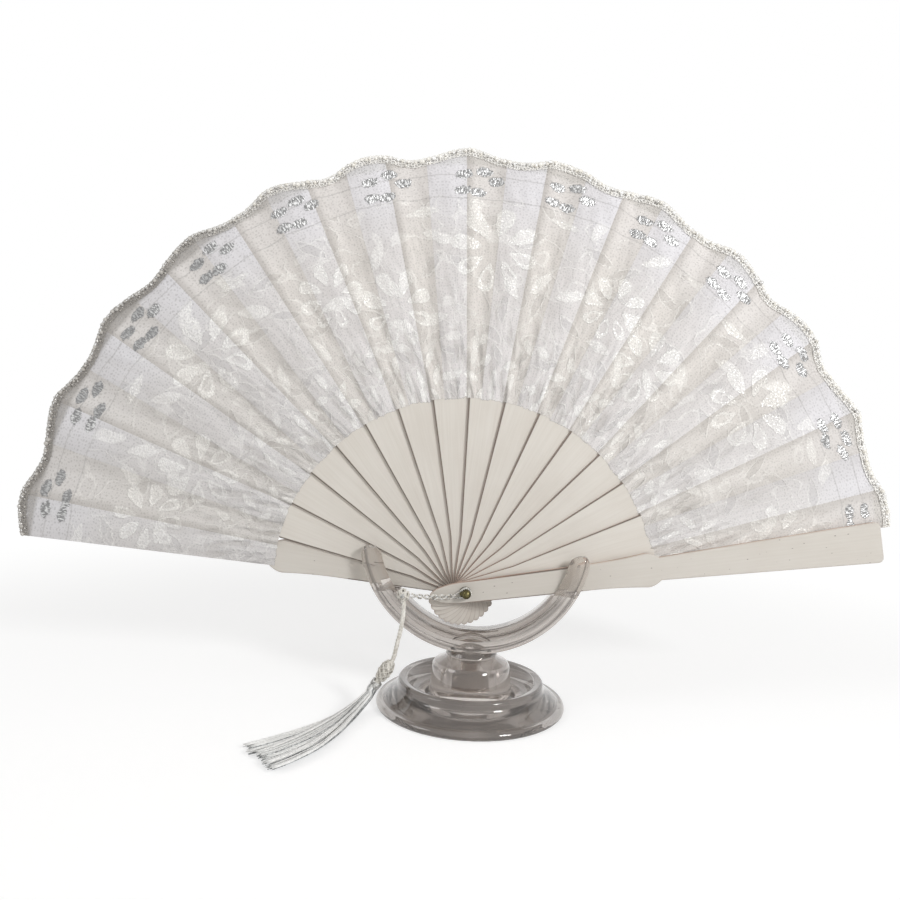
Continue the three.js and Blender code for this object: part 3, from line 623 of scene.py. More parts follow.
def skirt():
    chance = random.Random(7)
    gathered = Gathered()
    centre = smooth_path([Vector(p) for p in SKIRT_POINTS], 3.0)
    last = len(centre) - 1
    shares = [k / (len(SKIRT_POINTS) - 1) for k in range(len(SKIRT_POINTS))]
    locks = []
    for k in range(SKIRT_LOCKS):
        at = 2 * (k + 0.5) / SKIRT_LOCKS - 1
        locks.append((at, chance.uniform(-0.5, 0.9), chance.uniform(0, 6), chance.uniform(0.96, 1.0)))
    for number in range(SKIRT_THREADS):
        x_lock, y_lock, phase, reach = locks[number % SKIRT_LOCKS]
        under = number % 5 == 0
        x_own = chance.gauss(0, (1.8 if under else 1.1) / SKIRT_LOCKS)
        y_own = -0.7 if under else chance.gauss(0, 0.18)
        loose = chance.uniform(-0.1, 0.1) if chance.random() < 0.2 else chance.uniform(-0.02, 0.02)
        reach -= chance.uniform(0, 0.02)
        path = []
        for k in range(last + 1):
            share = k / last * reach
            place = share * last
            low = min(int(place), last - 1)
            point = centre[low].lerp(centre[low + 1], place - low)
            tangent = (centre[low + 1] - centre[low]).normalized()
            across = Vector((0, 0, 1)).cross(tangent).normalized()
            up = tangent.cross(across)
            width = between(share, shares, SKIRT_WIDTHS) / 2 - THREAD_RADIUS
            thick = between(share, shares, SKIRT_THICKS) / 2 - THREAD_RADIUS
            spread = 0.6 + 0.4 * math.sin(math.pi * min(1.0, 1.2 * share))
            wander = loose * share + 0.04 * math.sin(phase + 7 * share)
            x = max(-0.98, min(0.98, x_lock + x_own * spread + wander))
            y = max(-1.0, min(1.0, y_lock + y_own)) * math.sqrt(max(0.05, 1 - 0.8 * x * x))
            path.append((point + across * width * x + up * thick * y) * MM)
        radii = [THREAD_RADIUS * MM * (1.0 if k < last else 0.5) for k in range(last + 1)]
        # Threads underneath are silver, whose dark tone fills the gaps between locks: real silver thread and
        # painted shadow
        tube(gathered, path, radii, 4, int(under or chance.random() < 0.08))
    on_tassel(gathered.piece("tassel_skirt_threads", [skirt_silk, skirt_silver_and_gap_shade]), "tassel_skirt")
    print("skirt threads:", SKIRT_THREADS, "faces:", len(gathered.faces))


skirt_silk = silk("skirt_silk", (1.0, 1.0, 0.985, 1), (0.84, 0.84, 0.825, 1))
# Silver thread; its very dark tone also paints the shadow in the gaps under the white threads
skirt_silver_and_gap_shade = silk("skirt_silver_and_gap_shade", (0.62, 0.64, 0.64, 1), (0.12, 0.125, 0.13, 1), 0.4)
skirt()

# %% [markdown]
# ## Painted wood
#
# The sticks are thin wood under one coat of off-white paint. The paint lies on the faces, and the
# cut edges stay brown. The fine dark line between every two sticks is painted along the edges of
# each face: bare wood, and painted shadow where one stick steps over the next. Which faces are cut
# edges is told by the surface's direction against the rivet, and that stays true as a stick turns.
# Grain and the painted edge line need a place along and across the stick, so each stick has a
# finish with its own angle. Painted shade also darkens the paint towards the rivet.

# %% Paint and edges
PAINT = (0.640, 0.598, 0.540, 1)
PAINT_LIGHT = (0.70, 0.665, 0.61, 1)
PAINT_SHADE = (0.44, 0.41, 0.37, 1)
RAW_WOOD = (0.60, 0.45, 0.37, 1)
RAW_SHADE = (0.36, 0.22, 0.16, 1)
# Dark brown of specks of dirt and of the painted shadow in the line between sticks; reddish brown of that line
# near the rivet
SPECK_AND_EDGE_SHADOW_BROWN = (0.075, 0.05, 0.036, 1)
EDGE_SHADOW_RED = (0.17, 0.085, 0.058, 1)
HEAD_SHARE = 5.1 / 18.2  # a head is half an ellipse, so wide for so long
EDGE_WEAR_AND_SHADOW = 1.05  # mm of bare wood and painted shadow beside a cut edge


def painted_wood(name, angle, outline, edge_line_to, specks, dim, seed):
    """outline is the half width of the wood at two distances from the rivet. The dark line along its edges, bare
    wood and painted shadow, ends at the given distance from the rivet.
    """
    finish = Finish(name)
    x, depth, z = finish.fan_place()
    turn = math.radians(angle)
    along = x * -math.cos(turn) + z * math.sin(turn)
    across = x * math.sin(turn) + z * math.cos(turn)
    normal = finish.node("ShaderNodeNewGeometry", {}, out="Normal")
    cut_edge = abs(finish.dot(normal, DEPTH)).rises(0.75, 0.55)
    half = along.linear(outline[0][0], outline[1][0], outline[0][1], outline[1][1])
    head = along.least(0.0) * HEAD_SHARE
    inside = half - hypot(across, head)
    # The dark line along each edge: bare wood, and painted shadow of the step to the next stick
    wear_and_shadow_width = along.linear(-2.0, outline[1][0], 0.3, EDGE_WEAR_AND_SHADOW)
    darkened = (inside / wear_and_shadow_width).rises(1.0, 0.35)
    darkened = darkened * along.rises(edge_line_to, edge_line_to - 1.0)
    grain = finish.cloud(finish.vector(along * 0.03, across * 1.1 + seed, depth), 1.0, 4.0)
    broad = finish.blots(along * 0.03, across * 0.05 + seed)
    tone = (grain * 0.5 + broad * 0.5).rises(0.3, 0.7)
    bare = finish.colour(grain.rises(0.35, 0.6), RAW_SHADE, RAW_WOOD)
    spots = finish.cells(finish.vector(along * 0.09 + seed, across * 0.17), Scale=1.0)
    speck = (spots + grain * 0.2).rises(0.125, 0.1) * specks
    edge_shadow_tone = finish.colour(along.rises(34.0, 8.0), SPECK_AND_EDGE_SHADOW_BROWN, EDGE_SHADOW_RED)
    # Painted shade darkens the paint towards the rivet; dim darkens a whole piece
    colour = finish.layers(PAINT, (tone, PAINT_LIGHT), (along.linear(0.0, 90.0, 0.25, 0.0) + dim, PAINT_SHADE),
                           (speck * 0.7, SPECK_AND_EDGE_SHADOW_BROWN), (darkened * along.linear(-4.0, 4.0, 0.3, 0.95), edge_shadow_tone),
                           (cut_edge, bare))
    return finish.sets(Base_Color=colour, Roughness=grain.linear(0.3, 0.7, 0.42, 0.6),
                       Normal=finish.bump(grain, 0.12, 0.0003))


def dress(node, finish):
    materials = frame["nodes"][node].data.materials
    materials.clear()
    materials.append(finish)


STICK_PAINT = [(26.0, 5.1), (94.5, 11.65)], 97.0, 0.0, 0.0  # outline, where the edge line ends, specks, dim
GUARD_PAINT = [(0.0, 5.05), (58.0, 6.35)], 58.0, 1.0, 0.28
chance = random.Random(3)
for name in [*STICKS, "guard_back", "guard_front"]:
    paint = STICK_PAINT if name in STICKS else GUARD_PAINT
    dress(name, painted_wood(f"paint_{name}", angle_of(name), *paint, chance.uniform(0, 50)))
print("painted:", len(STICKS) + 2, "pieces")

# %% [markdown]
# ## Smooth edges on turned and moulded pieces
#
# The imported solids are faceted. A modifier can weld and smooth them without touching their points,
# which keeps every size as it is. The small bevel stands for the rounded edge that a mould leaves.


# %% Smoothing
SHARP = math.radians(32)  # an edge that bends more than this stays sharp


def smoothing_group():
    group = bpy.data.node_groups.new("smooth_by_angle", "GeometryNodeTree")
    for way in ("INPUT", "OUTPUT"):
        group.interface.new_socket("Geometry", in_out=way, socket_type="NodeSocketGeometry")
    nodes = Nodes(group)
    angle = nodes.node("GeometryNodeInputMeshEdgeAngle", {}, out="Unsigned Angle")
    sharp = nodes.node("FunctionNodeCompare", {}, angle, SHARP, out="Result")
    faces = nodes.node("GeometryNodeSetShadeSmooth", {}, nodes.node("NodeGroupInput", {}))
    edges = nodes.node("GeometryNodeSetShadeSmooth", {"domain": "EDGE"}, faces,
                       Selection=sharp, Shade_Smooth=False)
    nodes.feed(group.nodes.new("NodeGroupOutput").inputs[0], edges)
    return group


def add_modifier(solid, kind, **settings):
    modifier = solid.modifiers.new(kind.lower(), kind)
    for key, value in settings.items():
        setattr(modifier, key, value)


def soften(node, bevel, finish):
    solid = frame["nodes"][node]
    add_modifier(solid, "WELD", merge_threshold=2e-6)
    if bevel:
        add_modifier(solid, "BEVEL", width=bevel * MM, segments=3, limit_method="ANGLE", angle_limit=SHARP)
    add_modifier(solid, "NODES", node_group=SMOOTH)
    dress(node, finish)
    print("softened", node)


SMOOTH = smoothing_group()
print("sharp edges bend more than", round(math.degrees(SHARP)), "degrees")

# %% [markdown]
# ## Clear acrylic and brass
#
# The stand is moulded acrylic with a faint grey-brown tint. It is a true glass shader, so its
# thickness shows by itself, and small waves from the mould are added. Light is painted into the
# tint as well: highlights along the arc's rounded edges, shade in its groove, a lighter tint on the
# arms where the sticks show through and near the upright axis, and a darker copy of the acrylic
# for the base, which is painted shade. The rivet's ball is lacquered brass gone dark.

# %% Acrylic and brass
ARC_CENTRE_Z = 84.4
GROOVE_RADIUS = 54.9
OUTER_ROLL, INNER_ROLL = 56.3, 53.4  # radii of the arc's rounded edges
# Painted light: the arms are lighter where the sticks show through, the rounded edges get painted highlights and
# the groove painted shade
ARM_LIT_TINT = (0.80, 0.755, 0.71, 1)
ROLL_HIGHLIGHT_TINT = (0.72, 0.67, 0.63, 1)
GROOVE_SHADE_TINT = (0.13, 0.11, 0.10, 1)


def acrylic(name, dark, light):
    finish = Finish(name, Transmission_Weight=0.88, IOR=1.42, Coat_Weight=0.6, Coat_Roughness=0.02)
    place = finish.object_place()
    x, y, z = [part / MM for part in finish.parts(place)]
    z = z - ARC_CENTRE_Z
    arc = hypot(x, z)
    groove = abs(arc - GROOVE_RADIUS).rises(0.7, 0.0)
    waves = finish.cloud(place, 60)
    scuffs = finish.cloud(place, 700, 3.0)
    cloudy = finish.cloud(place, 45)
    axis = hypot(x, y)
    # Random cloudiness, and a painted lighter tint near the upright axis
    body = cloudy.linear(0.3, 0.7, 0.0, 0.3) + axis.rises(30.0, 21.0) * 0.7
    edge_highlight = abs(arc - OUTER_ROLL).rises(1.1, 0.3)
    edge_highlight = edge_highlight.most(abs(arc - INNER_ROLL).rises(0.9, 0.2) * 0.7)
    # Painted highlights on the rounded edges, lighter arms, and painted shade in the groove
    tint = finish.layers(dark, (body, light), (edge_highlight * 0.7, ROLL_HIGHLIGHT_TINT), (z.rises(-32.0, -24.0), ARM_LIT_TINT),
                         (groove * 0.75, GROOVE_SHADE_TINT))
    return finish.sets(Base_Color=tint, Roughness=scuffs.linear(0.45, 0.75, 0.04, 0.14),
                       Normal=finish.bump(waves * 0.6 - groove, 0.3, 0.0006))


def brass():
    finish = Finish("dark_brass")
    tarnish = finish.cloud(finish.object_place(), 500, 3.0)
    colour = finish.colour(tarnish.rises(0.35, 0.65), (0.045, 0.04, 0.018, 1), (0.15, 0.13, 0.06, 1))
    return finish.sets(Base_Color=colour, Metallic=1.0,
                       Roughness=tarnish.linear(0.3, 0.7, 0.18, 0.38))


# Base and cradle are the same acrylic; the darker copy for the base is painted shade
clear = acrylic("clear_acrylic", (0.40, 0.365, 0.335, 1), (0.48, 0.44, 0.405, 1))
shaded_base = acrylic("shaded_base_acrylic", (0.20, 0.175, 0.158, 1), (0.62, 0.565, 0.525, 1))
dark_brass = brass()
soften("stand_base", 0.35, shaded_base)
soften("stand_cradle", 0.35, clear)
for name in ("rivet_pin", "rivet_ball", "washer_front", "washer_rear"):
    soften(name, 0, dark_brass)

# %% [markdown]
# ## The lace
#
# The leaf is one piece of floral lace. A strip of it is glued to each rib, and the cloth between
# two ribs is free, so it swells into a ridge beside one rib and falls back before the next. Each
# glued strip is parented to the empty of the body that carries it. A free panel is a wedge, and a
# bend is measured across one width, so the panel is made of five rings, each measured near its
# narrow end. A free panel is a wedge made of five rings, and in the flat pattern the lace goes
# straight across them.

# %% Leaf sizes
LEAF_INNER = 96.8
LEAF_OUTER = 220.9
SCALLOP = 4.8
SCALLOP_PITCH = 13.2
SCALLOP_FIRST = 9.6
RIB_ROOT_AT, RIB_ROOT_HALF = 96.4, 5.2
RIB_TIP_AT, RIB_TIP_HALF = 214.5, 9.8
GUARD_BLADE_AT, GUARD_BLADE_HALF = 97.5, 5.65
GUARD_TIP_AT, GUARD_TIP_HALF = 213.6, 10.3
GUARD_SEAT = 0.4  # the leaf lies in a shallow seat on the guard
BAND_MARGIN = 0.4  # a glued strip reaches so far past its rib
LEAF_TUCK = 3.0
LIE = 0.45  # from the wood's face to the middle of the cloth
GLUED_INNER = LEAF_INNER - 2.6  # a glued strip ends on the wood, in front of it
FREE_INNER = LEAF_INNER - 1.5
TUCKED_DEPTH = -8.8
SEAM_RISE = 0.6
RIDGE_RISE = 1.5
FOLD_DIP = 0.5
CLOTH_THICK = 0.2
ROW_STEP, GLUED_COLUMNS, FREE_COLUMNS, BRAID_COLUMNS = 3.2, 8, 10, 8
LEAST_SIDE = 10.1  # a sheet's flat size is never taken as narrower
# share of a ring's height where its bend is measured
MEASURED_AT = 0.3  # share of a ring's height where its two end points are found
RING_EDGES = [FREE_INNER, 113.0, 132.0, 154.0, 180.0, None]
PATTERN_FOOT = 90.0
PATTERN_HEIGHT = 138.0


def rib_half(radius):
    return between(radius, (RIB_ROOT_AT, RIB_TIP_AT), (RIB_ROOT_HALF, RIB_TIP_HALF))


def rim_radius(angle):
    return LEAF_OUTER - SCALLOP * (0.5 - 0.5 * math.cos(2 * math.pi * (angle - SCALLOP_FIRST) / SCALLOP_PITCH))


def rise(radius):
    return (radius - LEAF_INNER) / (LEAF_OUTER - LEAF_INNER)


class Band:
    """One strip of glued lace: its body, its middle angle, how far it reaches past the rib, and its depth."""

    def __init__(self, node, body, face, margin):
        self.body, self.margin, self.lie = body, margin, face - LIE
        self.angle = angle_of(node)

    def edge(self, side, radius):
        return self.angle + side * math.degrees(math.asin((rib_half(radius) + self.margin) / radius))


def tucked_edge(radius):
    half = between(radius, (GUARD_BLADE_AT, GUARD_TIP_AT), (GUARD_BLADE_HALF, GUARD_TIP_HALF)) - LEAF_TUCK
    return angle_of("guard_front") - math.degrees(math.asin(half / radius))


def rib_face(node):
    """Depth of the front of a rib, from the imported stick."""
    places = fan_places(node)
    return float(places[np.hypot(places[:, 0], places[:, 2]) > MID_LEAF][:, 1].min())


back_face = fan_places("guard_back")[:, 1].min() + GUARD_SEAT
BANDS = [Band("guard_back", "guard_back", back_face, 0.0)]
for node in STICKS:
    BANDS.append(Band(node, "fan_core" if node == "stick_07" else node, rib_face(node), BAND_MARGIN))
print("glued strips:", len(BANDS), "first at", round(BANDS[0].angle, 2), "last at", round(BANDS[-1].angle, 2))

# %% [markdown]
# ## A strip of cloth
#
# A strip is a grid of points between two edges. Its depth is a formula: flat on the wood, up to the
# ridge at the right of a glued strip, then down into the fold of the free panel. A slow noise adds
# the puckers of cloth that was glued by hand. The noise fades at the edges, so that neighbours
# still meet.


# %% Cloth grids
def pucker(angle, radius, share, size):
    """Crumples. They are strongest a little above the glued foot of the cloth."""
    size *= 1 + between(radius, (98, 106, 118, 150), (-1, 1.4, 1.0, 0))
    wave = noise.noise(Vector((angle * 0.35 + radius * 0.03, radius * 0.045, 3.1)))
    fine = noise.noise(Vector((angle * 0.9, radius * 0.16, 8.7)))
    return size * math.sin(math.pi * share) * (wave + 0.5 * fine)


def glued_point(band, share, radius):
    angle = band.edge(-1, radius) + share * (band.edge(1, radius) - band.edge(-1, radius))
    lift = max(0.0, (share - 0.35) / 0.65) ** 2.2
    depth = band.lie - lift * SEAM_RISE * max(0.0, rise(radius)) - abs(pucker(angle, radius, share, 0.2))
    return angle, depth


def free_point(band, following, share, radius):
    first = band.edge(1, radius)
    last = following.edge(-1, radius) if following else tucked_edge(radius)
    foot = between(radius, (98, 106), (1.0, 0.0))  # low down it lies on the next stick at once
    climb = foot * min(1.0, share / 0.1) + (1 - foot) * max(0.0, share - 0.75) / 0.25
    level = band.lie + climb * ((following.lie if following else TUCKED_DEPTH) - band.lie)
    dip = between(share, (0, 0.07, 0.35, 0.6, 1), (-SEAM_RISE, -RIDGE_RISE, FOLD_DIP, FOLD_DIP, 0))
    angle = first + share * (last - first)
    depth = level + dip * max(0.0, rise(radius)) + pucker(angle, radius, share, 0.9)
    return angle, depth


def cloth(place, radii, columns, offset=0.0):
    """Points, faces and pattern places of a grid. place(share, radius) gives angle and depth."""
    points, places = [], []
    for row in radii:
        for k in range(columns + 1):
            share = k / columns
            radius = row(rim_radius(place(share, LEAF_OUTER)[0]))
            angle, depth = place(share, radius)
            points.append(on_fan(angle, radius, depth + offset))
            height = (radius - PATTERN_FOOT) / PATTERN_HEIGHT
            places.append((angle / 180, height, share, height))
    return points, quads(len(radii), columns + 1, False), places


def rows_between(low, high, count):
    """Functions from the rim's radius to a row's radius. Where high is None, the last row is the rim."""
    return [lambda rim, share=k / count: low + share * ((high or rim) - low) for k in range(count + 1)]


def press(piece, band):
    """A glued piece is parented to the empty of its body and gets a mesh of its own."""
    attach(piece, band.body)
    on_fan(band.angle, MID_LEAF, band.lie)
    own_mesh(piece)


def strip_width(place, radius):
    return math.radians(place(1.0, radius)[0] - place(0.0, radius)[0]) * radius


def declare(piece, place, edges):
    """Give the cloth its thickness, hide the plain leaf, and work out its area if it lay flat."""
    low, high = edges[0], edges[1] or LEAF_OUTER - SCALLOP / 2
    wide, long = max(strip_width(place, high), LEAST_SIDE), max(high - low, LEAST_SIDE)
    area = (strip_width(place, low) + strip_width(place, high)) / 2 * (high - low)
    add_modifier(piece, "SOLIDIFY", thickness=CLOTH_THICK * MM, offset=0, use_rim=False)
    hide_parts("lace_leaf")
    wide * MM
    long * MM
    area * MM * MM
    return area


print("cloth tools ready")

# %% [markdown]
# ## The lace's pattern
#
# The pattern is a drawing in the flat cloth. A fine net of small holes is the ground, and on it lie
# flowers, leaves and thin stems of dense satin thread. Near the rim run two thin lines with
# clusters of silver foil between them, and past the ribs there is only open net. Flowers and leaves
# come from two short formulas that are repeated around the fan. The repeat follows the scallops
# and not the sticks, as it does when a strip of lace is glued down.


# %% Lace drawing
PATTERN_RADIUS = 165.0  # mm, where the pattern has its true scale
SCALLOP_ALONG = math.radians(SCALLOP_PITCH) * PATTERN_RADIUS
REPEAT = 4 * SCALLOP_ALONG
PEAK_AT = math.radians(SCALLOP_FIRST) * PATTERN_RADIUS
# angle and radius of the middle, then size and turn of a flower, or length, width and turn of a leaf
FLOWERS = [(93.5, 171.0, 21.5, 0.2), (75.0, 144.0, 20.0, 0.5), (116.5, 160.0, 17.0, 0.0)]
RIBBONS = [(82.0, 190.0, 8.5, 2.6, 0.1), (104.0, 190.5, 8.0, 2.4, -0.1)]
FOIL = [(-4.3, 208.7), (3.7, 210.7), (8.8, 206.0), (-4.9, 200.7), (1.6, 199.8)]  # from a scallop's middle, radius
FOIL_AFTER_PEAK = 2.8
SHADED_LEFT_SPAN = (75.0, 40.0)  # degrees; painted shade: on the left the trim, holes, foil and beads are darker, because less light comes through them
RIM_LEFT_SHADE = (0.36, 0.34, 0.32, 1)
SHADOW = (0.36, 0.33, 0.30, 1)
LINES = (208.2, 196.8)
DRAWN_TO = (199.0, 195.0)  # flowers, leaves and stems end here


def near(along, centre, repeat):
    """Distance along the lace from a motif's centre, within half a repeat on each side."""
    return (along - centre).using("WRAP", repeat / 2, -repeat / 2)


def turned(x, y, turn):
    return x * math.cos(turn) + y * math.sin(turn), y * math.cos(turn) - x * math.sin(turn)


def flower(x, y, size, turn):
    """Eight petals round an open middle. The upper ones are filled, the lower ones are loops."""
    radius = hypot(x, y)
    angle = y.using("ARCTAN2", x)
    folded = (angle + turn).using("WRAP", math.pi / 8, -math.pi / 8)
    along = radius * folded.using("COSINE") - 0.66 * size
    aside = radius * folded.using("SINE")
    broad = (along * 0.24 + 0.17 * size).most(0.5)
    shape = (along / (0.34 * size)) ** 2.0 + (aside / broad) ** 2.0
    petal = shape.rises(1.15, 0.85)
    opening = shape.rises(0.4, 0.2) * (y.rises(0.1 * size, -0.2 * size) * 0.6 + 0.3)
    return petal * (1 - opening)


def sprig_leaf(x, y, long, wide, turn):
    """A pointed leaf with an open vein."""
    along, aside = turned(x, y, turn)
    edge = (1 - (along / long) ** 2.0) * wide - abs(aside)
    return edge.rises(-0.2, 0.8) * (1 - abs(aside).rises(0.6, 0.2) * 0.4)


print(f"the drawing repeats every {REPEAT:.0f} mm")


# %% Flowers, leaves, stems and foil
def scattered_leaves(finish, x, y, cell, long, wide):
    """One leaf in each cell of an uneven grid, turned at random: its thread, and the inside of open ones."""
    place = finish.vector(x / cell, y / cell)
    centre = finish.cells(place, out="Position", Scale=1.0, Randomness=0.8)
    turn, opened, _ = finish.parts(Field(finish, centre.socket.node.outputs["Color"]))
    dx, dy, _ = finish.parts(finish.vectors("SUBTRACT", place, centre))
    turn = turn * (2 * math.pi)
    cosine, sine = turn.using("COSINE"), turn.using("SINE")
    along, aside = (dx * cosine + dy * sine) * cell, (dy * cosine - dx * sine) * cell
    edge = (1 - (along / long) ** 2.0) * wide - abs(aside)
    inside = edge.rises(0.5, 1.1) * opened.rises(0.4, 0.5)
    return edge.rises(-0.2, 0.6) * (1 - inside), inside


def floral(finish, along, radius, bent, out):
    """The satin thread of the drawing, its glitter, and the open insides of leaves."""
    shapes = []
    for form, places in ((flower, FLOWERS), (sprig_leaf, RIBBONS)):
        for angle, height, *sizes in places:
            x = near(bent, math.radians(angle) * PATTERN_RADIUS, REPEAT)
            shapes.append(form(x, out - height, *sizes))
    motif = reduce(Field.most, shapes)
    drawn = radius.rises(*DRAWN_TO)
    low, high = radius.rises(140.0, 120.0), radius.rises(112.0, 135.0)
    inner, inner_open = scattered_leaves(finish, bent, out, 9.5, 6.5, 2.6)
    outer, outer_open = scattered_leaves(finish, bent, out, 19.0, 9.0, 3.1)
    hollow = (inner_open * low).most(outer_open * high) * (1 - motif) * drawn
    motif = motif.most(inner * low * 0.95).most(outer * high * 0.75)
    winding = finish.blots(bent * 0.045, out * 0.045, 1.0)
    stems = abs(winding - 0.5).rises(0.014, 0.005).most(abs(winding - 0.62).rises(0.016, 0.006))
    glitter = finish.blots(along + radius * 0.5, radius - along * 0.5)
    return motif.most(stems * 0.5) * drawn * glitter.linear(0.4, 0.6, 0.44, 1.0), glitter, hollow


def foil_clusters(finish, along, radius, fray):
    """Silver foil between the two lines near the rim, and its sparkle."""
    blobs = []
    for centre, height in FOIL:
        x = near(along + fray * 3.0, centre + PEAK_AT + FOIL_AFTER_PEAK, SCALLOP_ALONG) / 3.5
        y = (radius + fray * 3.0 - height) / 2.3
        blobs.append((x ** 2.0 + y ** 2.0).rises(1.15, 0.8))
    sparkle = finish.blots(along * 1.7, radius * 0.55)
    return reduce(Field.most, blobs) * sparkle.rises(0.26, 0.38), sparkle


# %% Lace finish
def lace(name, thread, upper, satin, hole_shade_and_blotch, rim_tone, left_shade, right_shade, foil_shade, foot):
    """A shade is how much darker the cloth is at one edge of its strip, and how far across it fades."""
    finish = Finish(name, Sheen_Weight=0.1, Sheen_Roughness=0.5)
    around, up, _ = finish.parts(finish.pattern("flat"))
    share, _, _ = finish.parts(finish.pattern("strip"))
    radius = up * PATTERN_HEIGHT + PATTERN_FOOT
    along = around * math.radians(180 * PATTERN_RADIUS)

    crumple = finish.blots(along * 0.1, radius * 0.1, 1.0) - 0.5
    fray = finish.blots(along * 0.6, radius * 0.6, 3.0) - 0.5
    bent = along + crumple * 3 + fray * 2.4
    out = radius + crumple * 3 - fray * 2.4
    motif, glitter, hollow = floral(finish, along, radius, bent, out)
    foil, sparkle = foil_clusters(finish, along, radius, fray)

    net = finish.cells(finish.vector(along, radius), "DISTANCE_TO_EDGE", Scale=0.72, Randomness=0.85)
    speck = finish.blots(along * 0.9, radius * 0.7)
    hole = (net + (speck - 0.5) * 1.3).rises(0.2, 0.45) * (1 - motif)
    streak = finish.blots(along * 0.8, radius * 0.09)
    past = radius.rises(212.5, 215.0)
    degrees = around * 180
    shaded_left = degrees.rises(*SHADED_LEFT_SPAN)
    # Painted shade: the cloth and its satin are darker towards both ends of the leaf
    ends = abs(degrees - 95.0).rises(30.0, 78.0)
    line = reduce(Field.most, [abs(radius + crumple * 2 - at).rises(0.5, 0.1) for at in LINES])

    blotch = finish.blots(along * 0.05, radius * 0.03)
    darkened = (blotch * 0.4 + streak * 0.6).rises(0.38, 0.62)
    wrinkle = finish.blots(along * 0.15 + radius * 0.03, radius * 0.045, 1.0)
    valley = wrinkle.rises(0.46, 0.34) * radius.linear(105.0, 160.0, 0.3, 0.08)
    left = share.rises(left_shade[1], 0.0) * left_shade[0]
    right = share.rises(1 - right_shade[1], 1.0) * right_shade[0]
    # Foil is darker on the left and on free panels, which is painted shade
    bright = finish.colour(shaded_left * 0.5 + foil_shade, (0.97, 0.97, 0.97, 1), (0.42, 0.42, 0.42, 1))
    silver = finish.colour(sparkle.rises(0.44, 0.62), (0.24, 0.24, 0.24, 1), bright)
    # Painted shade: in the net's holes and the open insides of leaves, at the strip's edges and in the valleys of
    # wrinkles; the blotches are random tone
    colour = finish.layers(
        thread,
        (darkened, [0.92 * c for c in thread[:3]] + [1]),
        (radius.rises(170.0, 205.0), upper),
        (ends * 0.2 + shaded_left * 0.12, (0.50, 0.50, 0.50, 1)),
        (past * 0.8, finish.colour(shaded_left, rim_tone, RIM_LEFT_SHADE)),
        (blotch.rises(0.56, 0.36) * 0.13, hole_shade_and_blotch),
        (hole * (0.2 + shaded_left * 0.16), hole_shade_and_blotch),
        (line * 0.35, (0.35, 0.34, 0.33, 1)),
        (hollow * 0.38, hole_shade_and_blotch),
        (motif * (1 - ends * 0.25), satin),
        (left + right, SHADOW),
        (valley, SHADOW),
        (foil, silver))
    shine = motif * glitter.rises(0.5, 0.62)
    ragged = (radius - foot - crumple * 3 - fray * 2).rises(-0.1, 0.3)
    finish.sets(Base_Color=colour, Metallic=(foil * 0.35).most(shine * 0.45),
                Roughness=0.75 - motif * 0.35 - foil * 0.45,
                Alpha=ragged * (1 - hole * (0.1 + past * 0.3) * (1 - foil)))
    height = wrinkle * radius.linear(105.0, 175.0, 4.0, 1.8)
    height = height + motif * 0.2 + glitter * motif * 0.25 - hole * 0.06 + foil * sparkle * 0.5
    return finish.sets(Normal=finish.bump(height, 1.0, 0.001))


# The free copy is a little darker and warmer than the copy on the ribs, which is painted shade: no white rib lies
# behind it
lace_on_rib = lace("lace_on_rib", (0.80, 0.77, 0.76, 1), (0.81, 0.795, 0.82, 1), (0.99, 0.98, 0.955, 1),
                   (0.54, 0.525, 0.53, 1), (0.70, 0.69, 0.69, 1), (0.2, 0.9), (0.0, 0.5), 0.0, GLUED_INNER + 0.9)
lace_free = lace("lace_free", (0.785, 0.745, 0.705, 1), (0.775, 0.74, 0.715, 1), (0.985, 0.965, 0.92, 1),
                 (0.52, 0.49, 0.46, 1), (0.60, 0.575, 0.54, 1), (0.36, 0.3), (0.14, 0.6), 0.4, FREE_INNER - 1.0)
print("lace nodes:", len(lace_free.node_tree.nodes))

# %% [markdown]
# ## The beaded braid
#
# A narrow net braid with beads and sequins is sewn over the scalloped edge, with small thread loops
# standing out past it. It is made strip by strip like the lace. Beads are real small forms, because
# their glints come from round surfaces.

# %% Braid
BRAID_WIDTH = 4.0
BRAID_PROUD = 0.8
BRAID_LIFT = -0.55
BEAD_ROWS = [(-0.4, 1.0, 2.6, 0.25), (-2.1, 0.5, 4.5, 0.5)]  # from the rim, radius, spacing, share of silver
BEAD_SIDES = 8
BEAD_LIFT = 0.3
LOOP_WIDTH, LOOP_THREAD, LOOP_STEPS = 2.6, 0.13, 8
NET_DENSITY = 0.8  # meshes to a millimetre


def shade_on_the_left(finish):
    return (finish.parts(finish.pattern("flat"))[0] * 180).rises(*SHADED_LEFT_SPAN)


def bead_finish(name, pale, dark, metallic):
    finish = Finish(name, Coat_Roughness=0.1)
    patch = finish.cloud(finish.object_place(), 420, 1.0)
    # Painted shade: beads are darker on the left
    tone = finish.layers(dark, (patch.rises(0.42, 0.58), pale),
                         (shade_on_the_left(finish) * 0.75, (0.38, 0.36, 0.335, 1)))
    return finish.sets(Base_Color=tone, Metallic=metallic,
                       Roughness=patch.linear(0.4, 0.6, 0.32, 0.14))


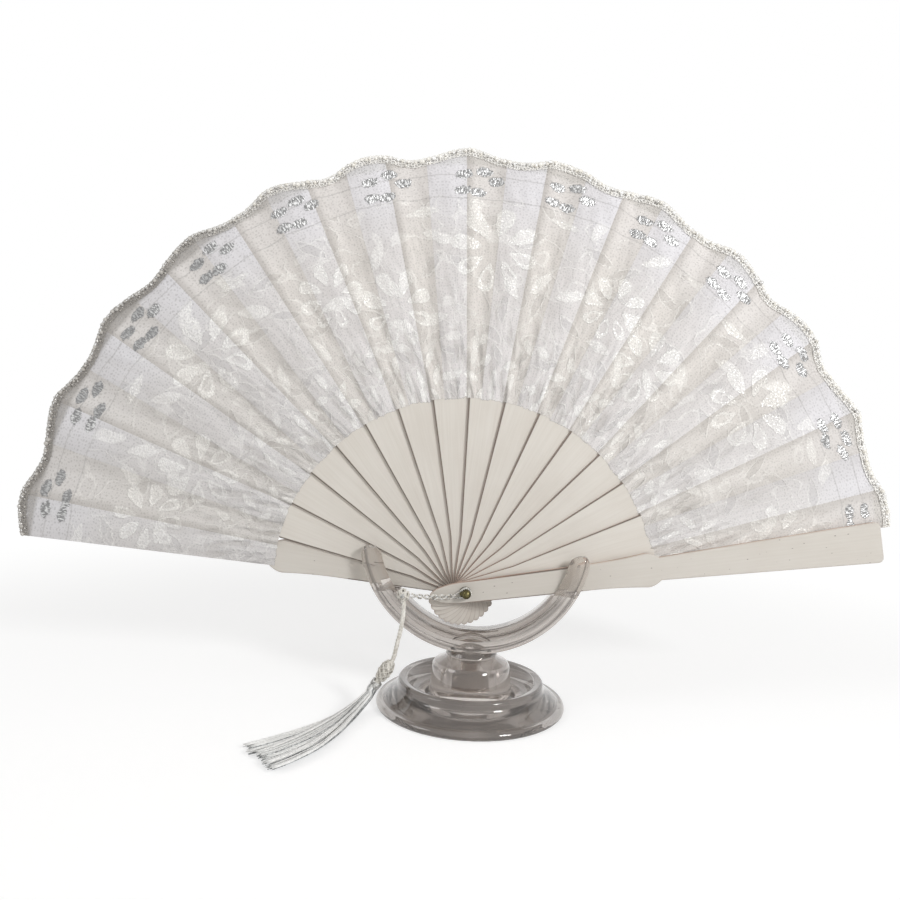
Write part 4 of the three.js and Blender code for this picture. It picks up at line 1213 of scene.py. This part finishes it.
def braid_net():
    finish = Finish("braid_net")
    scale = (180 * math.radians(PATTERN_RADIUS) * NET_DENSITY, PATTERN_HEIGHT * NET_DENSITY, 1)
    place = finish.vectors("MULTIPLY", finish.pattern("flat"), scale)
    mesh = finish.cells(place, "DISTANCE_TO_EDGE", Scale=1.0, Randomness=0.7)
    hole = mesh.rises(0.12, 0.2)
    tone = finish.cloud(finish.object_place(), 700)
    # Painted shade: the net is darker on the left
    colour = finish.layers((0.74, 0.72, 0.68, 1), (tone.rises(0.4, 0.6), (0.92, 0.905, 0.87, 1)),
                           (shade_on_the_left(finish), (0.33, 0.31, 0.285, 1)))
    return finish.sets(Base_Color=colour, Roughness=0.5, Alpha=1 - hole * 0.7,
                       Normal=finish.bump(mesh, 0.4, 0.0003))


net_finish = braid_net()
pearl = bead_finish("braid_pearl", (1.0, 0.98, 0.93, 1), (0.90, 0.87, 0.80, 1), 0.0)
sequin = bead_finish("braid_sequin", (0.98, 0.98, 0.97, 1), (0.58, 0.565, 0.54, 1), 0.5)
print("braid finishes:", net_finish.name, pearl.name, sequin.name)


# %% Beads and loops
def ball(gathered, centre, radius, kind, angle):
    """A small bead: two poles and three rings."""
    points = [centre + DEPTH * radius]
    for ring in range(1, 4):
        for k in range(BEAD_SIDES):
            flat = spoke(ACROSS, UPWARD, 2 * math.pi * k / BEAD_SIDES)
            points.append(centre + radius * spoke(DEPTH, flat, math.pi * ring / 4))
    points.append(centre - DEPTH * radius)
    faces = quads(3, BEAD_SIDES, True, first=1)
    for a, b, _, _ in faces[:BEAD_SIDES]:
        faces += [(0, b, a), (len(points) - 1, a + 2 * BEAD_SIDES, b + 2 * BEAD_SIDES)]
    gathered.add(points, faces, [(angle / 180, 1, 0, 0)] * len(points), kind)


def braid_strip(name, place, seed):
    chance = random.Random(seed)
    strip = Gathered()
    rows = [lambda rim, k=k: rim + BRAID_PROUD - BRAID_WIDTH * (1 - k / 3) for k in range(4)]
    strip.add(*cloth(place, rows, BRAID_COLUMNS, BRAID_LIFT))
    width = strip_width(place, LEAF_OUTER)
    for offset, size, spacing, silver in BEAD_ROWS:
        count = max(2, round(width / spacing))
        for k in range(count):
            share = (k + 0.5 + chance.uniform(-0.4, 0.4)) / count
            angle, _ = place(share, LEAF_OUTER)
            radius = rim_radius(angle) + offset + chance.uniform(-0.5, 0.5)
            angle, depth = place(share, radius)
            kind = 2 if chance.random() < silver else 1
            centre = on_fan(angle, radius, depth + BRAID_LIFT - BEAD_LIFT)
            ball(strip, centre, size * chance.uniform(0.6, 1.15) * MM, kind, angle)
    count = max(2, round(width / LOOP_WIDTH))
    loops = []
    for k in range(LOOP_STEPS * count + 1):
        share = k / (LOOP_STEPS * count)
        angle, _ = place(share, LEAF_OUTER)
        wave = abs(math.sin(math.pi * share * count))
        radius = rim_radius(angle) + 0.2 + 0.8 * wave * (0.8 + 0.2 * math.sin(k * 1.7))
        angle, depth = place(share, radius)
        loops.append(on_fan(angle, radius, depth + BRAID_LIFT))
    tube(strip, loops, LOOP_THREAD * MM, 4, 1, (angle / 180, 1.0, 0.0, 0.0))
    piece = strip.piece(name, [net_finish, pearl, sequin])
    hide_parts("leaf_braid")
    return piece


print("points of a bead:", 3 * BEAD_SIDES + 2)


# %% Build the leaf
def leaf_piece(name, place, edges, finish, columns):
    low, high = edges
    strip = Gathered()
    rows = rows_between(low, high, max(4, round(((high or LEAF_OUTER) - low) / ROW_STEP)))
    strip.add(*cloth(place, rows, columns))
    return strip.piece(name, [finish])


def build_leaf():
    total = 0.0
    for k, band in enumerate(BANDS):
        following = BANDS[k + 1] if k + 1 < len(BANDS) else None
        glued, free = partial(glued_point, band), partial(free_point, band, following)
        piece = leaf_piece(f"lace_glued_{k:02d}", glued, (GLUED_INNER, None), lace_on_rib, GLUED_COLUMNS)
        trim = braid_strip(f"braid_glued_{k:02d}", glued, 100 + k)
        press(piece, band)
        press(trim, band)
        total += declare(piece, glued, (GLUED_INNER, None))
        for ring, edges in enumerate(zip(RING_EDGES, RING_EDGES[1:])):
            inside = edges[0] + MEASURED_AT * ((edges[1] or LEAF_OUTER) - edges[0])
            places = [free(share, inside) for share in (0.0, 1.0)]
            start, end = (on_fan(angle, inside, depth) for angle, depth in places)
            piece = leaf_piece(f"lace_free_{k:02d}_{ring + 1}", free, edges, lace_free, FREE_COLUMNS)
            parts = [] if edges[1] else [braid_strip(f"braid_free_{k:02d}", free, 200 + k)]
            for part in [piece, *parts]:
                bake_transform(part)
            total += declare(piece, free, edges)
    print(f"lace leaf: {len(RING_EDGES) * len(BANDS)} pieces, {total / 100:.0f} square cm")


build_leaf()

# %% [markdown]
# ## Table, light and background
#
# The fan stands in an even white studio. The floor takes the soft shadow near the object and turns
# into the white of the background further out, so no horizon shows. The lamps are broad, and the
# stronger one is high on the right, which models the pleats.

# %% Studio
FLOOR_HALF = 6.0  # metres
LAMPS_AIM = Vector((0, 0, 0.12))
FLOOR_FADE = (0.25, 0.9)  # metres from the stand where the floor goes over into the background


def white_studio():
    world = bpy.data.worlds.new("studio")
    bpy.context.scene.world = world
    world.use_nodes = True
    sky = Nodes(world.node_tree)
    sky.tree.nodes.clear()
    lit = sky.node("ShaderNodeBackground", {}, (1.0, 0.99, 0.975, 1), 0.42)
    white = sky.node("ShaderNodeBackground", {}, (1, 1, 1, 1), 1.0)
    sky.feed(sky.tree.nodes.new("ShaderNodeOutputWorld").inputs[0],
             sky.node("ShaderNodeMixShader", {}, sky.seen(), lit, white))


def white_floor():
    mesh = bpy.data.meshes.new("floor")
    corners = [(x * FLOOR_HALF, y * FLOOR_HALF, 0) for x, y in ((-1, -1), (1, -1), (1, 1), (-1, 1))]
    mesh.from_pydata(corners, [], [(0, 1, 2, 3)])
    floor = add_to_scene("floor", mesh)
    finish = Finish("floor", Base_Color=(0.93, 0.93, 0.93, 1), Roughness=0.9)
    distance = finish.vectors("LENGTH", finish.object_place(), out="Value")
    far = distance.rises(*FLOOR_FADE)
    glow = finish.node("ShaderNodeEmission", {}, finish.colour(far, (1, 1, 1, 1), (0.741, 0.741, 0.741, 1)), 1.35)
    mix = finish.node("ShaderNodeMixShader", {}, finish.seen() * (0.45 + far * 0.55),
                      Field(finish, finish.shader.outputs[0]), glow)
    finish.feed(finish.tree.nodes["Material Output"].inputs["Surface"], mix)
    mesh.materials.append(finish.material)


def lamp(name, place, size, power):
    data = bpy.data.lights.new(name, "AREA")
    data.shape = "DISK"
    data.size = size
    data.energy = power
    light = add_to_scene(name, data)
    light.location = place
    light.rotation_euler = (LAMPS_AIM - Vector(place)).to_track_quat("-Z", "Y").to_euler()


white_studio()
white_floor()
lamp("window", (0.85, -0.75, 0.6), 0.3, 7.6)
lamp("fill", (-1.0, -0.6, 0.8), 0.6, 3.0)
bpy.context.scene.view_settings.view_transform = "Standard"
print("studio ready")
